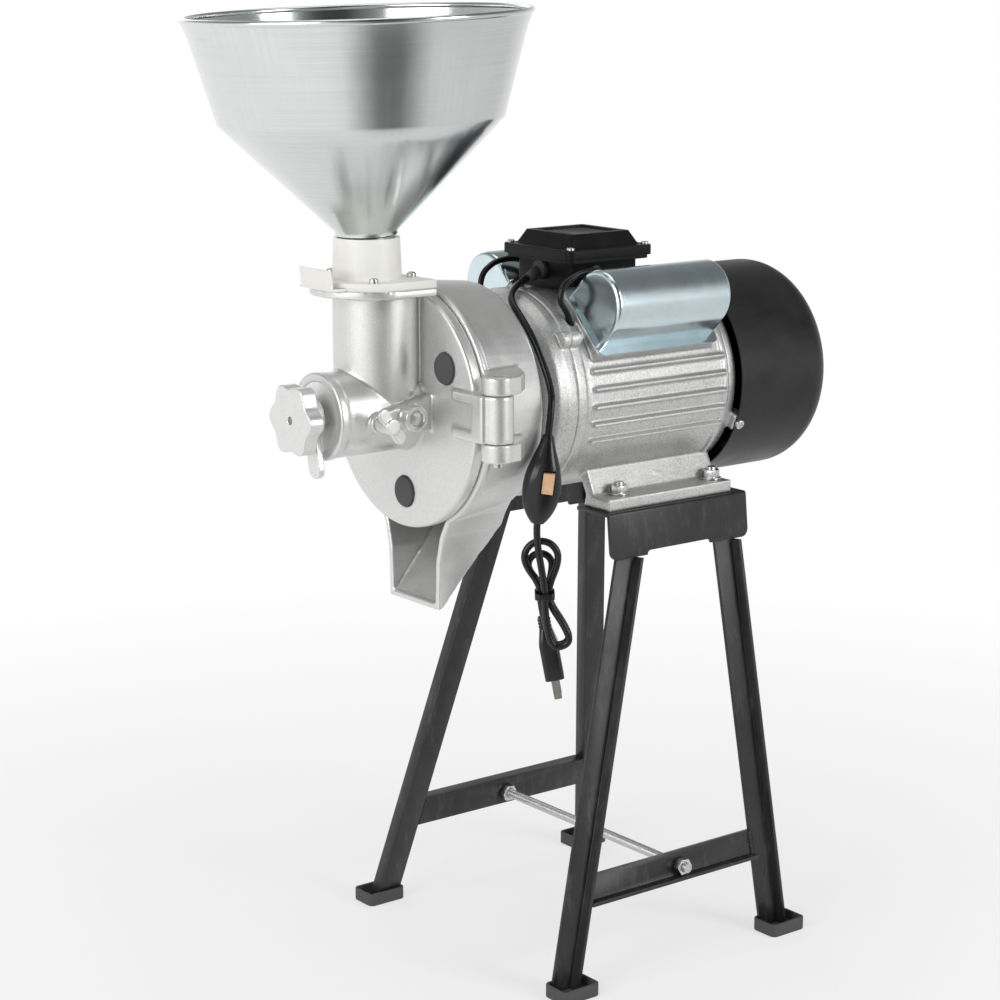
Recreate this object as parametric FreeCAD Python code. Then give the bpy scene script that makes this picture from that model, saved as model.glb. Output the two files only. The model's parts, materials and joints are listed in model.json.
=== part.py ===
"""Food grinder on an A-frame stand: steel disc mill, ribbed motor, feed hopper and mains lead.

Everything is drawn about the motor: x along the shaft with the mill at -x, y across with the hinge
at -y, z up from the shaft axis. save() then moves it so that the origin is on the floor, below the
middle of the machine.
"""
import FreeCAD, Part
import math
import os

V = FreeCAD.Vector
X = V(1, 0, 0)
Y = V(0, 1, 0)
Z = V(0, 0, 1)

# Whole machine
SHAFT_HEIGHT = 464.0
FOOT_PLANE = -90.0
FLOOR = -SHAFT_HEIGHT
RUN = 0.05
GAP = 0.3

# Motor
FRAME_FRONT = -104.0
FRAME_REAR = 58.0
FRAME_R = 81.0
FRAME_BORE = 72.0
RIB_R = 85.5
RIB_ANGLES = (17.0, 7.1, -2.8, -12.7, -22.6)
BOLT_X = 50.0
BOLT_Y = 70.0
BOLT_END = -69.6
FOOT_FRONT = -72.0
FOOT_REAR = 60.0
FOOT_Y = 84.0
STACK_FRONT = -52.0
STACK_REAR = 38.0
ROTOR_R = 44.5
STATOR_BORE = 45.0
FAN_COVER_R = 88.0
FAN_COVER_FRONT = 67.0
FAN_COVER_REAR = 173.0
FAN_COVER_CORNER = 22.0
EAR_ANGLES = (-23.0, 67.0, 157.0, 247.0)
LUG_R = 6.5
LUG_RING = 85.5
LUG_ANGLES = (36.0, 144.0, 240.0, 300.0)
EAR_FRONT = 65.6
HOUSING_SCREW_RING = 46.0

# Capacitor covers, lying on pads at 45 degrees
PAD_R = 86.0
CAP_AXIS_R = 108.0
CAP_R = 27.0
CAP_FRONT = -80.0
CAP_REAR = 39.0
CAP_FLANGE = 34.0
FAR_CAP_SHIFT = 7.0
CAP_SCREW_X = (CAP_FRONT + 12, CAP_REAR - 12)
CAP_SCREW_Y = 30.6
SHEET = 1.2

# Terminal box
BOX_X = -37.0
BOX_HALF = 35.0
BOX_LOW = 81.5
BOX_TOP = 107.0
LID_HALF = 44.0
LID_BRIM = 8.0
LID_TOP = 126.0
CORD_HOLE = (-72.0, 3.0, 96.0)
LID_SCREW = 38.5
LEAD_D = 5.0
LEAD_HOLE = (-48.0, 95.0)
LEAD_ENDS = ((-90.5, -52.5, 69.5), (-87.0, -53.0, 58.0))

# Mill
HOUSING_REAR = -146.0
HOUSING_FRONT = -203.0
DRUM_R_FRONT = 98.0
DRUM_R_REAR = 92.5
DRUM_BORE = 88.0
COVER_BACK = HOUSING_FRONT - GAP
COVER_FACE = COVER_BACK - 10.0
COVER_R = 96.0
CHUTE_FLOOR = -160.0
CHUTE_HALF = 33.0
PIN_X = -204.0
PIN_Y = -111.0
PIN_R = 4.0
KNUCKLE_LOW = -13.0
KNUCKLE_HIGH = 23.0
STRAP_PROUD = 6.0
CLAMP_Y = 109.0
CLAMP_Z = -10.0
DISC_R = 75.0
PLUG_RING = 67.5
PLUG_ANGLES = (147.2, 267.2, 27.2)
PLUG_R = 12.2

# Feed tee and hopper
TUBE_R = 33.0
TUBE_END = -292.0
FEED_X = -237.0
FEED_BORE_X = -242.0
FEED_BORE = 21.5
SCREW_BORE = 24.0
SEAT_BORE = 22.3
TEE_TOP = 97.0
FLANGE_END = -211.0
SEAT_TOP = 134.0
HOPPER_X = -244.5
HOPPER_LEAN = 2.2
SHOULDER_R = 109.0
SHOULDER_Z = 223.0
RIM_R = 130.3
RIM_Z = 300.0
BEAD_R = 2.4
SEAT_FLANGE = 6.0
SEAT_SCREWS = ((-252.0, 38.0), (-262.0, -34.0), (-216.0, -18.0))
WING_X = -260.0
WING_Z = -3.5

# Stand
PLATE_FRONT = -76.0
PLATE_REAR = 72.0
PLATE_DROP = 38.0
STAND_Y = 86.0
LEAN = 6.1
STEEL = 3.0
LEG_WEB = 22.0
LEG_FLANGE = 12.0
FRONT_LEG_X = {-1: (-64.0, -162.0), 1: (-56.0, -157.0)}
REAR_LEG_X = {-1: (35.5, 65.6), 1: (46.0, 75.5)}
LEG_HIGH = -110.0
LEG_LOW = FLOOR + 3.0
FOOT_LENGTH = 37.0
BRACE_HIGH = -376.5
BRACE_LOW = -400.0
ROD_X = -21.0
ROD_Z = -387.5
ROD_R = 4.0

# Mains lead: upper stretch, switch, then the tied hank and the plug. The last three are drawn in a
# frame of their own that faces away from the mill, at HANK_AT and turned by HANK_TURN
CORD_D = 5.6
UPPER_CORD = ((-94.0, -6.0, 91.0), (-112.0, -17.0, 88.9), (-127.0, -28.0, 85.0),
              (-136.5, -40.0, 79.0), (-138.0, -56.0, 68.0), (-138.0, -71.0, 53.0),
              (-138.0, -82.5, 36.0), (-138.3, -93.0, 17.0))
HANK_AT = (-144.0, -92.6)
HANK_TURN = -37.73
SWITCH_TOP = (2.2, -6.6, -16.0)
SWITCH_LENGTH = 69.5
SWITCH_TILT = -6.8
ROCKER_AT = -36.0
ROCKER_DEEP = -4.2
ROCKER_PIN = 1.1
LAYER = 6.6
STRAND = 3.25
WAIST = -143.6
FOLD_TILT = 21.5
FOLD_R = 7.2
FOLD_LENGTH = 38.5
PLUG_TOP = (-0.8, 14.5, -165.0)
PLUG_TILT = 10.5
PLUG_LENGTH = 51.0

# The origin, half way between the hopper's rim and the fan cover's back
LEAN_SINE = math.sin(math.radians(HOPPER_LEAN))
LEAN_COSINE = math.cos(math.radians(HOPPER_LEAN))
RIM_LEFT = HOPPER_X - (RIM_Z - SEAT_TOP) * LEAN_SINE - RIM_R * LEAN_COSINE - BEAD_R
ORIGIN = V(-(RIM_LEFT + FAN_COVER_REAR) / 2.0, 0, SHAFT_HEIGHT)


# Shapes
def cylinder(start, axis, length, radius):
    return Part.makeCylinder(radius, length, V(*start), axis)


def cyl_x(x0, x1, radius, y=0.0, z=0.0):
    return cylinder((x0, y, z), X, x1 - x0, radius)


def cyl_y(y0, y1, radius, x=0.0, z=0.0):
    return cylinder((x, y0, z), Y, y1 - y0, radius)


def cyl_z(z0, z1, radius, x=0.0, y=0.0):
    return cylinder((x, y, z0), Z, z1 - z0, radius)


def box(x0, x1, y0, y1, z0, z1):
    return Part.makeBox(x1 - x0, y1 - y0, z1 - z0, V(x0, y0, z0))


def polygon(points):
    return Part.Face(Part.makePolygon(points + [points[0]]))


def prism_x(outline, x0, x1):
    return polygon([V(x0, y, z) for y, z in outline]).extrude(V(x1 - x0, 0, 0))


def prism_y(outline, y0, y1):
    return polygon([V(x, y0, z) for x, z in outline]).extrude(V(0, y1 - y0, 0))


def prism_z(outline, z0, z1):
    return polygon([V(x, y, z0) for x, y in outline]).extrude(V(0, 0, z1 - z0))


def turn_x(profile):
    """Solid of revolution about the shaft axis, from (x, radius) points."""
    return polygon([V(x, 0, r) for x, r in profile]).revolve(V(0, 0, 0), X, 360)


def turn_z(profile, x):
    """Solid of revolution about the upright axis at x, from (radius, z) points."""
    return polygon([V(x + r, 0, z) for r, z in profile]).revolve(V(x, 0, 0), Z, 360)


def ring_x(x0, x1, outer, inner):
    return cyl_x(x0, x1, outer).cut(cyl_x(x0 - 1, x1 + 1, inner))


def join(shapes):
    return shapes[0].multiFuse(shapes[1:]).removeSplitter()


def rolled(shape, degrees):
    """Turned about the shaft axis: 0 keeps the top at the top, positive rolls it towards -y."""
    turned = shape.copy()
    turned.rotate(V(0, 0, 0), X, degrees)
    return turned


def mirrored(shape):
    return shape.mirror(V(0, 0, 0), Y)


def hex_nut(centre, axis, flats, thickness, bore):
    corners = flats / math.sqrt(3)
    points = [V(corners * math.cos(math.radians(a)), corners * math.sin(math.radians(a)), 0)
              for a in range(0, 360, 60)]
    nut = polygon(points).extrude(V(0, 0, thickness))
    if bore:
        nut = nut.cut(Part.makeCylinder(bore, thickness + 2, V(0, 0, -1), Z))
    nut.Placement = FreeCAD.Placement(V(*centre), FreeCAD.Rotation(Z, axis))
    return nut


def pan_screw(centre, axis, head_r, head_h, shank_r, length):
    """Round-headed screw: centre is under the head, axis points out of the head."""
    head = Part.makeCylinder(head_r, head_h, V(0, 0, 0), Z)
    head = head.makeFillet(head_h * 0.45, [edge for edge in head.Edges
                                           if edge.BoundBox.ZMin > head_h - 0.01])
    slot = box(-head_r * 0.6, head_r * 0.6, -0.5, 0.5, head_h - 0.8, head_h + 1)
    cross = box(-0.5, 0.5, -head_r * 0.6, head_r * 0.6, head_h - 0.8, head_h + 1)
    shank = Part.makeCylinder(shank_r, length, V(0, 0, -length), Z)
    screw = head.fuse(shank).cut(slot.fuse(cross))
    screw.Placement = FreeCAD.Placement(V(*centre), FreeCAD.Rotation(Z, axis))
    return screw


def on_ring(radius, degrees):
    """Place across the shaft: 0 degrees is towards -y, 90 is up."""
    a = math.radians(degrees)
    return -radius * math.cos(a), radius * math.sin(a)


def route_wire(points):
    """Straight runs joined by arcs as large as the runs allow; returns the wire and its radii."""
    corners = [V(*p) for p in points]
    edges, radii = [], []
    start = corners[0]
    for before, corner, after in zip(corners, corners[1:], corners[2:]):
        back, ahead = before - corner, after - corner
        short = 0.45 * min(back.Length, ahead.Length)
        half_turn = (math.pi - back.getAngle(ahead)) / 2
        radii.append(short / math.tan(half_turn))
        back.normalize()
        ahead.normalize()
        enter, leave = corner + back * short, corner + ahead * short
        centre = corner + (back + ahead).normalize() * (radii[-1] / math.cos(half_turn))
        middle = centre + (corner - centre).normalize() * radii[-1]
        edges.append(Part.LineSegment(start, enter).toShape())
        edges.append(Part.Arc(enter, middle, leave).toShape())
        start = leave
    edges.append(Part.LineSegment(start, corners[-1]).toShape())
    return Part.Wire(edges), radii


def tube(name, points, diameter):
    """Round tube along a route, with its radii and volume printed for checking."""
    wire, radii = route_wire(points)
    start = V(*points[0])
    circle = Part.makeCircle(diameter / 2, start, V(*points[1]) - start)
    solid = wire.makePipeShell([Part.Wire(circle)], True, False)
    expected = math.pi * diameter ** 2 / 4 * wire.Length
    print(name, "length %.0f" % wire.Length, "volume ratio %.4f" % (solid.Volume / expected),
          "radii", [round(r, 1) for r in radii])
    return solid


def save(name, *shapes):
    solids = []
    for shape in shapes:
        moved = shape.copy()
        moved.translate(ORIGIN)
        solids.extend(moved.Solids)
    whole = solids[0] if len(solids) == 1 else Part.makeCompound(solids)
    if not whole.isValid():
        print("INVALID", name)
    whole.exportStep("parts/" + name + ".step")


# Stand
def edge_x(leg, z):
    """Left edge of a leg at height z, from its edge at the top and at the floor."""
    high, low = leg
    return high + (low - high) * (LEG_HIGH - z) / (LEG_HIGH - FLOOR)


def leaned(shape, side):
    """Frames are drawn upright with their outer face at y = 0, then leaned out and put in place."""
    placed = shape.copy()
    placed.rotate(V(0, 0, FOOT_PLANE), X, -LEAN)
    placed.translate(V(0, -STAND_Y, 0))
    return placed if side < 0 else mirrored(placed)


def stand_plate(side):
    """Pressed top plate: a shelf under the motor foot, bent down over the legs' outer faces."""
    shelf_y = (-STAND_Y - STEEL, -STAND_Y + 37)
    shelf = box(PLATE_FRONT, PLATE_REAR, *shelf_y, FOOT_PLANE - STEEL, FOOT_PLANE)
    face = box(PLATE_FRONT, PLATE_REAR, -STEEL, 0, FOOT_PLANE - PLATE_DROP, FOOT_PLANE)
    corners = [e for e in face.Edges
               if abs(e.BoundBox.YLength - STEEL) < 0.01 and e.BoundBox.ZMax < FOOT_PLANE - 1]
    face = face.makeFillet(7, corners)
    arch = box(-38, 31, -STEEL - 1, 1, FOOT_PLANE - PLATE_DROP - 1, FOOT_PLANE - PLATE_DROP + 3.5)
    arch = arch.makeFillet(3.4, [e for e in arch.Edges if abs(e.BoundBox.YLength - STEEL - 2) < 0.01
                                 and e.BoundBox.ZMin > FOOT_PLANE - PLATE_DROP])
    plate = join([shelf, leaned(face.cut(arch), -1)])
    bend = [e for e in plate.Edges if e.BoundBox.XLength > PLATE_REAR - PLATE_FRONT - 1
            and e.BoundBox.ZMin > FOOT_PLANE - 0.5 and e.BoundBox.YMax < -STAND_Y]
    plate = plate.makeFillet(2.5, bend)
    for x in (-BOLT_X, BOLT_X):
        plate = plate.cut(cyl_z(FOOT_PLANE - 10, FOOT_PLANE + 1, 4.6, x, -BOLT_Y))
    return plate if side < 0 else mirrored(plate)


def stand_leg(leg, side):
    """Angle iron: a web behind the plate's face and a flange that points out.

    The near frame has the flange along its rear edge, the far one along its front edge.
    """
    top = FOOT_PLANE - 12
    low = LEG_LOW - 6
    face_end = FOOT_PLANE - PLATE_DROP - 0.5
    web = prism_y([(edge_x(leg, top), top), (edge_x(leg, low), low),
                   (edge_x(leg, low) + LEG_WEB, low), (edge_x(leg, top) + LEG_WEB, top)],
                  0, STEEL)
    near_edge = LEG_WEB - STEEL if side < 0 else 0
    flange = prism_y([(edge_x(leg, z) + near_edge + dx, z) for dx, z in
                      ((0, face_end), (0, low), (STEEL, low), (STEEL, face_end))],
                     STEEL - LEG_FLANGE, STEEL)
    iron = leaned(join([web, flange]), side)
    return iron.common(box(-400, 400, -400, 400, LEG_LOW, 0))


def stand_brace(side):
    """Angle iron cross bar between the legs, with the hole for the tie rod.

    Its flange points out, at the bottom of the near bar and at the top of the far one.
    """
    gap = 0.2
    inner = 0.0 if side < 0 else 0.01
    front, rear = FRONT_LEG_X[side], REAR_LEG_X[side]
    low_left, high_left = [edge_x(front, z) + LEG_WEB + gap for z in (BRACE_LOW, BRACE_HIGH)]
    low_right, high_right = [edge_x(rear, z) - gap for z in (BRACE_LOW, BRACE_HIGH)]
    web = prism_y([(low_left, BRACE_LOW), (low_right, BRACE_LOW), (high_right, BRACE_HIGH),
                   (high_left, BRACE_HIGH)], inner, STEEL)
    edge = BRACE_LOW if side < 0 else BRACE_HIGH - STEEL
    left = edge_x(front, edge + STEEL) + LEG_WEB + gap
    right = edge_x(rear, edge + STEEL) - gap
    flange = box(left, right, STEEL - LEG_FLANGE, STEEL, edge, edge + STEEL)
    bar = leaned(join([web, flange]), side)
    return bar.cut(cyl_y(-200, 200, ROD_R + 0.4, ROD_X, ROD_Z))


def rubber_feet():
    """A cup under each leg, with a pocket that the leg's end stands in."""
    feet = []
    web_y = STAND_Y + math.tan(math.radians(LEAN)) * (FOOT_PLANE - LEG_LOW)
    for side in (-1, 1):
        for leg in (FRONT_LEG_X[side], REAR_LEG_X[side]):
            edge = edge_x(leg, LEG_LOW)
            x0 = edge - 3.5 if side < 0 else edge + LEG_WEB + 5 - FOOT_LENGTH
            cup = box(x0, x0 + FOOT_LENGTH, -web_y - 20, -web_y + 7, FLOOR, FLOOR + 11)
            cup = cup.makeFillet(5, [e for e in cup.Edges if e.BoundBox.ZLength > 10])
            pocket = box(x0 + 2, x0 + FOOT_LENGTH - 2, -web_y - 17.5, -web_y + 4.5,
                         LEG_LOW, FLOOR + 12)
            pocket = pocket.makeFillet(1.5, [e for e in pocket.Edges if e.BoundBox.ZLength > 8])
            cup = cup.cut(pocket)
            feet.append(cup if side < 0 else mirrored(cup))
    return feet


def tie_rod():
    """Threaded rod across the stand, and a nut each side of both braces."""
    web_y = STAND_Y + math.tan(math.radians(LEAN)) * (FOOT_PLANE - ROD_Z)
    outside, inside = web_y + 0.75, web_y - STEEL - 0.8
    rod = cyl_y(-outside - 10, outside + 10, ROD_R, ROD_X, ROD_Z)
    nuts = []
    for y in (-outside - 6.5, -inside, inside - 6.5, outside):
        nuts.append(hex_nut((ROD_X, y, ROD_Z), Y, 13, 6.5, ROD_R + 0.02))
    return rod, nuts


def build_stand():
    for side, word in ((-1, "near"), (1, "far")):
        save("stand_plate_" + word, stand_plate(side))
        save("stand_leg_" + word + "_front", stand_leg(FRONT_LEG_X[side], side))
        save("stand_leg_" + word + "_rear", stand_leg(REAR_LEG_X[side], side))
        save("stand_brace_" + word, stand_brace(side))
    save("rubber_feet", *rubber_feet())
    rod, nuts = tie_rod()
    save("tie_rod", rod)
    save("tie_rod_nuts", *nuts)


# Motor
def lug_places():
    return [on_ring(LUG_RING, angle) for angle in LUG_ANGLES]


def housing_screw_places():
    return [on_ring(HOUSING_SCREW_RING, angle) for angle in (45, 135, 225, 315)]


def motor_frame():
    """Aluminium frame: barrel, end rings, cooling ribs, pads for the boxes and the two feet."""
    solids = [cyl_x(FRAME_FRONT, FRAME_REAR, FRAME_R),
              cyl_x(FRAME_FRONT, FRAME_FRONT + 10, FRAME_R + 3),
              cyl_x(FRAME_REAR - 6, FRAME_REAR, FRAME_R + 1)]
    rib = box(-86, 53, -1.4, 1.4, FRAME_R - 2, RIB_R)
    for angle in RIB_ANGLES:
        solids.append(rolled(rib, 90 - angle))
        solids.append(rolled(rib, angle - 90))
    pad = box(CAP_FRONT - 3, CAP_REAR + 3, -31, 31, 70, PAD_R)
    solids += [rolled(pad, 45), far_cap(rolled(pad, 45))]
    solids.append(box(BOX_X - 31, BOX_X + 31, -31, 31, 70, BOX_LOW))
    wall = [(-52.5, -54.5), (-63.8, -80), (-FOOT_Y, -80), (-FOOT_Y, FOOT_PLANE), (-52, FOOT_PLANE),
            (-54.5, -80), (-45, -61)]
    foot = prism_x(wall, FOOT_FRONT, FOOT_REAR).cut(cyl_x(FRAME_REAR, FOOT_REAR + 1, FRAME_R))
    solids += [foot, mirrored(foot), box(-3, 3, -60, 60, -86, -70)]
    solids += [cyl_x(FRAME_FRONT, FRAME_FRONT + 10, LUG_R, y, z) for y, z in lug_places()]
    frame = join(solids).cut(cyl_x(FRAME_FRONT - 1, FRAME_REAR + 1, FRAME_BORE))
    for y, z in lug_places():
        frame = frame.cut(cyl_x(FRAME_FRONT - 1, FRAME_FRONT + 11, 2.5, y, z))
    for x in (-BOLT_X, BOLT_X):
        for y in (-BOLT_Y, BOLT_Y):
            frame = frame.cut(cyl_z(FOOT_PLANE - 1, -60, 5, x, y))
            frame = frame.cut(cyl_z(-80, -70, 9, x, y))
    start, end = [V(*point) for point in LEAD_ENDS]
    lead = Part.makeCylinder(LEAD_D / 2 + 0.1, 18, start, end - start)
    return frame.cut(lead).cut(mirrored(lead))


def stator_core():
    """Laminated ring with a slot for each coil side."""
    core = ring_x(STACK_FRONT, STACK_REAR, FRAME_BORE, STATOR_BORE)
    slot = box(STACK_FRONT - 1, STACK_REAR + 1, -2.2, 2.2, STATOR_BORE - 2, STATOR_BORE + 13)
    slots = [rolled(slot, 15 * i) for i in range(24)]
    return core.cut(slots[0].multiFuse(slots[1:]))


def stator_windings():
    """End turns: one rounded ring of wire at each end of the stack."""
    rings = []
    for x0, x1 in ((STACK_FRONT - 20, STACK_FRONT - 0.2), (STACK_REAR + 0.2, STACK_REAR + 18)):
        ring = ring_x(x0, x1, 66, 49)
        rings.append(ring.makeFillet(5, [e for e in ring.Edges if e.Length > 250]))
    return rings


def front_end_bell():
    """Domed end casting with the front bearing seat and the spigot that carries the mill."""
    profile = [(FRAME_FRONT, 84), (-112, 84), (-121, 82), (-127, 78.5), (-130, 74), (-131, 70),
               (-131, 58), (HOUSING_REAR, 58), (HOUSING_REAR, 14), (-133, 14), (-133, 26),
               (-115, 26), (-115, 34), (-122, 36), (-122, 62), (-117, 71), (FRAME_FRONT, FRAME_BORE)]
    lugs = [cyl_x(FRAME_FRONT - 7, FRAME_FRONT, LUG_R, y, z) for y, z in lug_places()]
    bell = join([turn_x(profile)] + lugs)
    for y, z in lug_places():
        bell = bell.cut(cyl_x(FRAME_FRONT - 5.5, FRAME_FRONT + 1, 2.5, y, z))
    for y, z in housing_screw_places():
        bell = bell.cut(cyl_x(HOUSING_REAR - 1, -134, 4.1, y, z))
    return bell


def rear_end_bell():
    """Rear casting with the rear bearing seat and four ears for the fan cover."""
    profile = [(FRAME_REAR, 80), (66, 80), (72, 74), (74, 40), (84, 32), (84, 12), (80, 12),
               (80, 23.5), (66, 23.5), (66, 60), (61, 71), (FRAME_REAR, FRAME_BORE)]
    bell = turn_x(profile)
    ear = box(EAR_FRONT, 76, -7, 7, 74, FAN_COVER_R - SHEET - 0.4)
    bell = join([bell] + [rolled(ear, 90 - a) for a in EAR_ANGLES])
    hole = cyl_z(78, 90, 2.1, 70)
    for angle in EAR_ANGLES:
        bell = bell.cut(rolled(hole, 90 - angle))
    return bell


def fan_cover():
    """Pressed steel cover with a rounded rear edge and rings of slots in its back."""
    def shell(offset):
        r, rear, corner = FAN_COVER_R - offset, FAN_COVER_REAR - offset, FAN_COVER_CORNER - offset
        turn = math.sqrt(0.5) * corner
        arc = Part.Arc(V(rear - corner, 0, r), V(rear - corner + turn, 0, r - corner + turn),
                       V(rear, 0, r - corner)).toShape()
        edges = [Part.makeLine(V(FAN_COVER_FRONT - offset, 0, 0), V(FAN_COVER_FRONT - offset, 0, r)),
                 Part.makeLine(V(FAN_COVER_FRONT - offset, 0, r), V(rear - corner, 0, r)), arc,
                 Part.makeLine(V(rear, 0, r - corner), V(rear, 0, 0)),
                 Part.makeLine(V(rear, 0, 0), V(FAN_COVER_FRONT - offset, 0, 0))]
        return Part.Face(Part.Wire(edges)).revolve(V(0, 0, 0), X, 360)
    cover = shell(0).cut(shell(SHEET))
    rings = [ring_x(FAN_COVER_REAR - 5, FAN_COVER_REAR + 5, r + 5, r) for r in (18, 29, 40, 51)]
    bridge = box(FAN_COVER_REAR - 6, FAN_COVER_REAR + 6, -3.5, 3.5, 0, 70)
    slots = rings[0].multiFuse(rings[1:])
    slots = slots.cut(bridge.multiFuse([rolled(bridge, 60 * i) for i in range(1, 6)]))
    cover = cover.cut(slots)
    hole = cyl_z(80, 95, 2.2, 70)
    for angle in EAR_ANGLES:
        cover = cover.cut(rolled(hole, 90 - angle))
    return cover


def capacitor_block(x0, x1, radius, low):
    """Block with upright sides and a half-round top, drawn with its base below the shaft's top."""
    sides = box(x0, x1, -radius, radius, low, CAP_AXIS_R)
    top = cyl_x(x0, x1, radius, 0, CAP_AXIS_R).common(box(x0, x1, -50, 50, low, 200))
    return join([sides, top])


def far_cap(shape):
    """Far side's twin of a capacitor piece, which sits a little further back."""
    twin = mirrored(shape)
    twin.translate(V(FAR_CAP_SHIFT, 0, 0))
    return twin


def capacitor_cover():
    """Bent sheet cover over a capacitor, with a flat flange that lies on the pad."""
    outer = capacitor_block(CAP_FRONT, CAP_REAR, CAP_R, PAD_R)
    ends = [e for e in outer.Edges if e.BoundBox.XLength < 0.01 and e.BoundBox.ZMax > PAD_R + 1]
    outer = outer.makeFillet(3.5, ends)
    inner = capacitor_block(CAP_FRONT + SHEET, CAP_REAR - SHEET, CAP_R - SHEET, PAD_R - 1)
    ends = [e for e in inner.Edges if e.BoundBox.XLength < 0.01 and e.BoundBox.ZMax > PAD_R + 1]
    inner = inner.makeFillet(2.3, ends)
    flange = box(CAP_FRONT - 3, CAP_REAR + 3, -CAP_FLANGE, CAP_FLANGE, PAD_R, PAD_R + SHEET)
    flange = flange.makeFillet(6, [e for e in flange.Edges if e.BoundBox.ZLength > 1])
    cover = join([outer, flange]).cut(inner)
    for x in CAP_SCREW_X:
        cover = cover.cut(cyl_z(PAD_R - 1, PAD_R + 3, 2.1, x, CAP_SCREW_Y))
    return rolled(cover, 45)


def build_motor():
    frame = motor_frame()
    for x in CAP_SCREW_X:
        hole = rolled(cyl_z(76, PAD_R + 1, 2.0, x, CAP_SCREW_Y), 45)
        frame = frame.cut(hole).cut(far_cap(hole))
    save("motor_frame", frame)
    save("stator_core", stator_core())
    save("stator_windings", *stator_windings())
    save("front_end_bell", front_end_bell())
    save("rear_end_bell", rear_end_bell())
    save("fan_cover", fan_cover())
    save("capacitor_cover_near", capacitor_cover())
    save("capacitor_cover_far", far_cap(capacitor_cover()))
    can = rolled(cyl_x(CAP_FRONT + 10, CAP_REAR - 10, 21, 0, CAP_AXIS_R), 45)
    save("capacitors", can, far_cap(can))
    save("bearing_outer_rings", ring_x(-132, -117, 26, 22), ring_x(66, 80, 23.5, 20))


def motor_bolts():
    """Hexagon bolts up through the stand and the motor feet, each with a washer and a nut."""
    solids = []
    for x in (-BOLT_X, BOLT_X):
        for y in (-BOLT_Y, BOLT_Y):
            head = hex_nut((x, y, FOOT_PLANE - STEEL - 5.3), Z, 13, 5.3, 0)
            shank = cyl_z(FOOT_PLANE - STEEL - 1, BOLT_END, 4, x, y)
            solids.append(head.fuse(shank))
            washer = cyl_z(-80, -78.4, 8.5, x, y).cut(cyl_z(-81, -78, 4.02, x, y))
            solids.append(washer)
            solids.append(hex_nut((x, y, -78.4), Z, 13, 6.5, 4.02))
    return solids


def motor_screws():
    """Pan-head screws of the end bell, fan cover, capacitor covers and terminal box lid."""
    screws = []
    for y, z in lug_places():
        screws.append(pan_screw((FRAME_FRONT + 10, y, z), X, 4.4, 3.4, 2.4, 15))
    for angle in EAR_ANGLES:
        screws.append(rolled(pan_screw((70, 0, FAN_COVER_R), Z, 4.2, 2.8, 2.0, 9), 90 - angle))
    for x in CAP_SCREW_X:
        screw = rolled(pan_screw((x, CAP_SCREW_Y, PAD_R + SHEET), Z, 3.0, 2.2, 1.9, 8), 45)
        screws += [screw, far_cap(screw)]
    for x, y in lid_screw_places():
        screws.append(pan_screw((x, y, BOX_TOP + LID_BRIM), Z, 3.2, 2.2, 1.9, 11))
    return screws


def lid_screw_places():
    return [(BOX_X + dx, y) for dx in (-LID_SCREW, LID_SCREW) for y in (-LID_SCREW, LID_SCREW)]


def terminal_box():
    """Moulded box on the motor's top pad: open at the top, with corner posts for the lid screws."""
    outer = box(BOX_X - BOX_HALF, BOX_X + BOX_HALF, -BOX_HALF, BOX_HALF, BOX_LOW, BOX_TOP)
    outer = outer.makeFillet(5, [e for e in outer.Edges if e.BoundBox.ZLength > 20])
    brim = box(BOX_X - 42, BOX_X + 42, -42, 42, BOX_TOP - 3, BOX_TOP)
    brim = brim.makeFillet(6, [e for e in brim.Edges if e.BoundBox.ZLength > 2])
    inner = box(BOX_X - 32, BOX_X + 32, -32, 32, BOX_LOW + 2.5, BOX_TOP + 1)
    body = join([outer, brim]).cut(inner)
    for x, y in lid_screw_places():
        body = body.cut(cyl_z(BOX_TOP - 5, BOX_TOP + 1, 1.95, x, y))
    x, y, z = CORD_HOLE
    body = body.cut(cyl_x(x - 3, x + 8, 6.5, y, z))
    x, z = LEAD_HOLE
    return body.cut(cyl_y(-60, 60, 4.1, x, z))


def terminal_lid():
    """Flat brim and a raised middle with sloping sides and a shallow panel in its top."""
    brim_top = BOX_TOP + LID_BRIM
    brim = box(BOX_X - LID_HALF, BOX_X + LID_HALF, -LID_HALF, LID_HALF, BOX_TOP, brim_top)
    brim = brim.makeFillet(6, [e for e in brim.Edges if e.BoundBox.ZLength > 5])
    brim = brim.makeFillet(1.2, [e for e in brim.Edges if e.BoundBox.ZMin > brim_top - 0.1])

    def square(half, z):
        signs = ((-1, -1), (1, -1), (1, 1), (-1, 1))
        points = [V(BOX_X + sx * half, sy * half, z) for sx, sy in signs]
        return Part.makePolygon(points + [points[0]])
    raised = Part.makeLoft([square(36, brim_top - 0.5), square(30, LID_TOP)], True)
    raised = raised.makeFillet(3, [e for e in raised.Edges if e.BoundBox.ZLength > 5])
    panel = box(BOX_X - 24, BOX_X + 24, -24, 24, LID_TOP - 1.5, LID_TOP + 1)
    hollow = box(BOX_X - 27, BOX_X + 27, -27, 27, BOX_TOP - 1, LID_TOP - 4)
    lid = join([brim, raised]).cut(panel).cut(hollow)
    for x, y in lid_screw_places():
        lid = lid.cut(cyl_z(BOX_TOP - 1, brim_top + 1, 2.0, x, y))
    return lid


def terminal_block():
    """Insulating bar with six studs."""
    bar = box(BOX_X - 20, BOX_X + 20, -13, 13, BOX_LOW + 2.5, BOX_LOW + 10)
    studs = [cyl_z(BOX_LOW + 10, BOX_LOW + 17, 2, BOX_X + dx, y)
             for dx in (-12, 0, 12) for y in (-7, 7)]
    return join([bar] + studs)


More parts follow.
